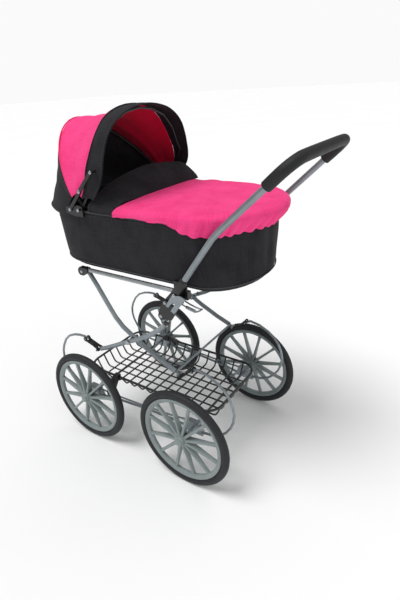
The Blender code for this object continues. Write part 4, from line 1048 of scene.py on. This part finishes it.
class STROLLER_OT_hood(bpy.types.Operator):
    """Builds the folding hood: visor, pink front, black back, piping and stitching"""
    bl_idname = "stroller.hood"
    bl_label = "Hood"

    def execute(self, context):
        cloth = context.scene.stroller_cloth
        size = cloth.stitch_length
        inside = (sx(40), 0, sz(600))
        seam, edge = edge_row(SEAM, 86, 0.035, 16), edge_row(VISOR, 122, 0.07, 24)
        mid = [(a + b) / 2 + Vector((0, 0, 0.002)) for a, b in zip(seam, edge)]
        visor = filled([seam, mid, edge], 5)
        lip = [p + Vector((-0.004, 0, -0.0025)) for p in edge]
        hood_panel("visor", visor + [lip], "woven_polyester_black", None, "black_cloth",
                   ["hood_front"], ["hood_visor"], 0.0012, 1.1)
        front = filled([turned(seam, 1.0)] + [hood_row(a) for a in (92, 100, 108, 115, 122,
                                                                    128.9)], 3)
        front_ends = (about_pivot(0.19, 0, 128), about_pivot(0.178, 0, 84))
        hood_panel("hood_front_cloth", front, "woven_polyester_pink", "brushed_cotton_lining",
                   "pink_cloth", ["hood_middle", "hood_front"], ["hood_front_panel"],
                   0.0016, 4.4)
        back = [hood_row(a) for a in (129.1, 137, 145, 152, 160, 170, 180)]
        for drop, bulge in ((0.009, 0.009), (0.016, 0.0)):
            row = []
            for p in back[6]:
                reach = max(0.0, (sx(31) - p.x) / (sx(31) - back[6][ACROSS // 2].x))
                row.append(Vector((p.x - bulge * reach,
                                   p.y * (1 + 0.02 * bulge / 0.009 * reach), p.z - drop)))
            back.append(row)
        back = filled(back, 3)
        back_ends = (about_pivot(0.165, 0, 178), about_pivot(0.2, 0, 130))
        hood_panel("hood_back_cloth", back, "woven_polyester_black", None, "black_cloth",
                   ["cot_frame", "hood_middle"], ["hood_back_panel"],
                   0.0022, 6.1)
        for name, line, tint, body, radius in (
                ("hood_piping_front", turned(seam, 0.4), "black", "hood_front", 0.0016),
                ("hood_piping_middle", hood_row(129, -0.0003), "pink", "hood_middle", 0.0014),
                ("visor_piping", edge, "black", "hood_front", 0.0015)):
            finished(name, wire(line, radius), f"woven_polyester_{tint}", body=body,
                     slot="black_cloth")
        for line, name in ((visor[1], "seam"), (visor[-2], "edge")):
            finished(f"visor_stitching_{name}", stitches(line, inside, 0.0008, size),
                     "sewing_thread_black", body="hood_front", slot="black_cloth")
        front_ride = (("hood_middle", "hood_front"), front_ends)
        back_ride = (("cot_frame", "hood_middle"), back_ends)
        for line, name, tint, (bodies, ends) in ((front[1], "front", "pink", front_ride),
                                                 (front[-2], "top", "pink", front_ride),
                                                 (back[1], "back", "black", back_ride)):
            line = [p for p in line if p.z > sz(PIVOT[1] + 38)]
            thread = finished(f"hood_stitching_{name}", stitches(line, inside, 0.0008, size),
                              f"sewing_thread_{tint}", body=None, slot=f"{tint}_cloth")
            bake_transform(thread)
        return {"FINISHED"}


# ---------------------------------------------------------------- stage
class STROLLER_OT_stage(bpy.types.Operator):
    """Sets the pale floor, the studio lights and the camera"""
    bl_idname = "stroller.stage"
    bl_label = "Stage"

    def execute(self, context):
        bm = bmesh.new()
        bmesh.ops.create_grid(bm, x_segments=2, y_segments=2, size=40.0)
        mesh = to_mesh("floor", bm)
        floor = placed("floor", mesh)
        # Matt paper sweep: pale and without gloss.
        paper, tree, bsdf = new_material("paper_sweep", Roughness=0.95)
        mottled(tree, bsdf, linear("#FAFAFA"), linear("#FCFCFC"), 1.0)
        mesh.materials.append(paper)
        world = context.scene.world or bpy.data.worlds.new("studio")
        context.scene.world = world
        world.use_nodes = True
        tree = world.node_tree
        soft = next(n for n in tree.nodes if n.type == "BACKGROUND")
        soft.inputs["Color"].default_value = linear("#FFFFFF")
        soft.inputs["Strength"].default_value = 0.32
        # the sweep behind the object is lit apart, so it stays as pale as the floor
        sweep = node(tree, "Background", color=linear("#FAFAFA"), strength=1.0)
        seen = node(tree, "LightPath")
        both = node(tree, "MixShader", {0: seen.outputs["Is Camera Ray"],
                                                  1: soft.outputs["Background"],
                                                  2: sweep.outputs["Background"]})
        out = next(n for n in tree.nodes if n.type == "OUTPUT_WORLD")
        tree.links.new(both.outputs["Shader"], out.inputs["Surface"])
        for name, place, spread, power in (("key", (-0.55, -0.75, 2.4), 30, 1.85),
                                           ("fill", (1.6, -0.6, 1.5), 60, 0.45),
                                           ("top", (0.2, 0.9, 2.6), 60, 0.45)):
            lamp = bpy.data.lights.new(name, "SUN")
            lamp.angle = math.radians(spread)
            lamp.energy = power
            holder = placed(name, lamp)
            holder.location = place
            aim = Vector((0, 0, 0.4)) - Vector(place)
            holder.rotation_euler = aim.to_track_quat("-Z", "Y").to_euler()
        data = bpy.data.cameras.new("camera")
        data.sensor_width = 36
        data.lens = 27.115
        data.shift_x, data.shift_y = 0.00225, -0.0651
        camera = placed("camera", data)
        yaw, pitch, roll = (math.radians(a) for a in (35.244, 21.466, -3.6386))
        ahead = Vector((-math.sin(yaw) * math.cos(pitch), math.cos(yaw) * math.cos(pitch),
                        -math.sin(pitch)))
        right = Vector((math.cos(yaw), math.sin(yaw), 0))
        up = right.cross(ahead)
        turn_right = math.cos(roll) * right + math.sin(roll) * up
        turn_up = -math.sin(roll) * right + math.cos(roll) * up
        camera.matrix_world = Matrix.Translation((0.54286, -0.71221, 0.77959)) @ Matrix(
            (turn_right, turn_up, -ahead)).transposed().to_4x4()
        context.scene.camera = camera
        context.scene.view_settings.view_transform = "Standard"
        return {"FINISHED"}


STEPS = (STROLLER_OT_frame_finish, STROLLER_OT_wheels, STROLLER_OT_grip, STROLLER_OT_basket,
         STROLLER_OT_cot, STROLLER_OT_cover, STROLLER_OT_hood, STROLLER_OT_stage)


class STROLLER_PT_panel(bpy.types.Panel):
    """Lists the build steps"""
    bl_idname = "STROLLER_PT_panel"
    bl_label = "Doll Stroller"
    bl_space_type = "VIEW_3D"
    bl_region_type = "UI"
    bl_category = "Doll Stroller"

    def draw(self, context):
        for group in (context.scene.stroller_cloth, context.scene.stroller_hardware):
            for name in group.bl_rna.properties.keys():
                if name not in ("rna_type", "name"):
                    self.layout.prop(group, name)
        for step in STEPS:
            self.layout.operator(step.bl_idname)


CLASSES = (ClothSettings, HardwareSettings) + STEPS + (STROLLER_PT_panel,)


def register():
    for cls in CLASSES:
        bpy.utils.register_class(cls)
    bpy.types.Scene.stroller_cloth = PointerProperty(type=ClothSettings)
    bpy.types.Scene.stroller_hardware = PointerProperty(type=HardwareSettings)


def unregister():
    del bpy.types.Scene.stroller_hardware
    del bpy.types.Scene.stroller_cloth
    for cls in reversed(CLASSES):
        bpy.utils.unregister_class(cls)


def main():
    register()
    make_materials()
    for step in STEPS:
        group, name = step.bl_idname.split(".")
        getattr(getattr(bpy.ops, group), name)()


if __name__ == "__main__":
    main()
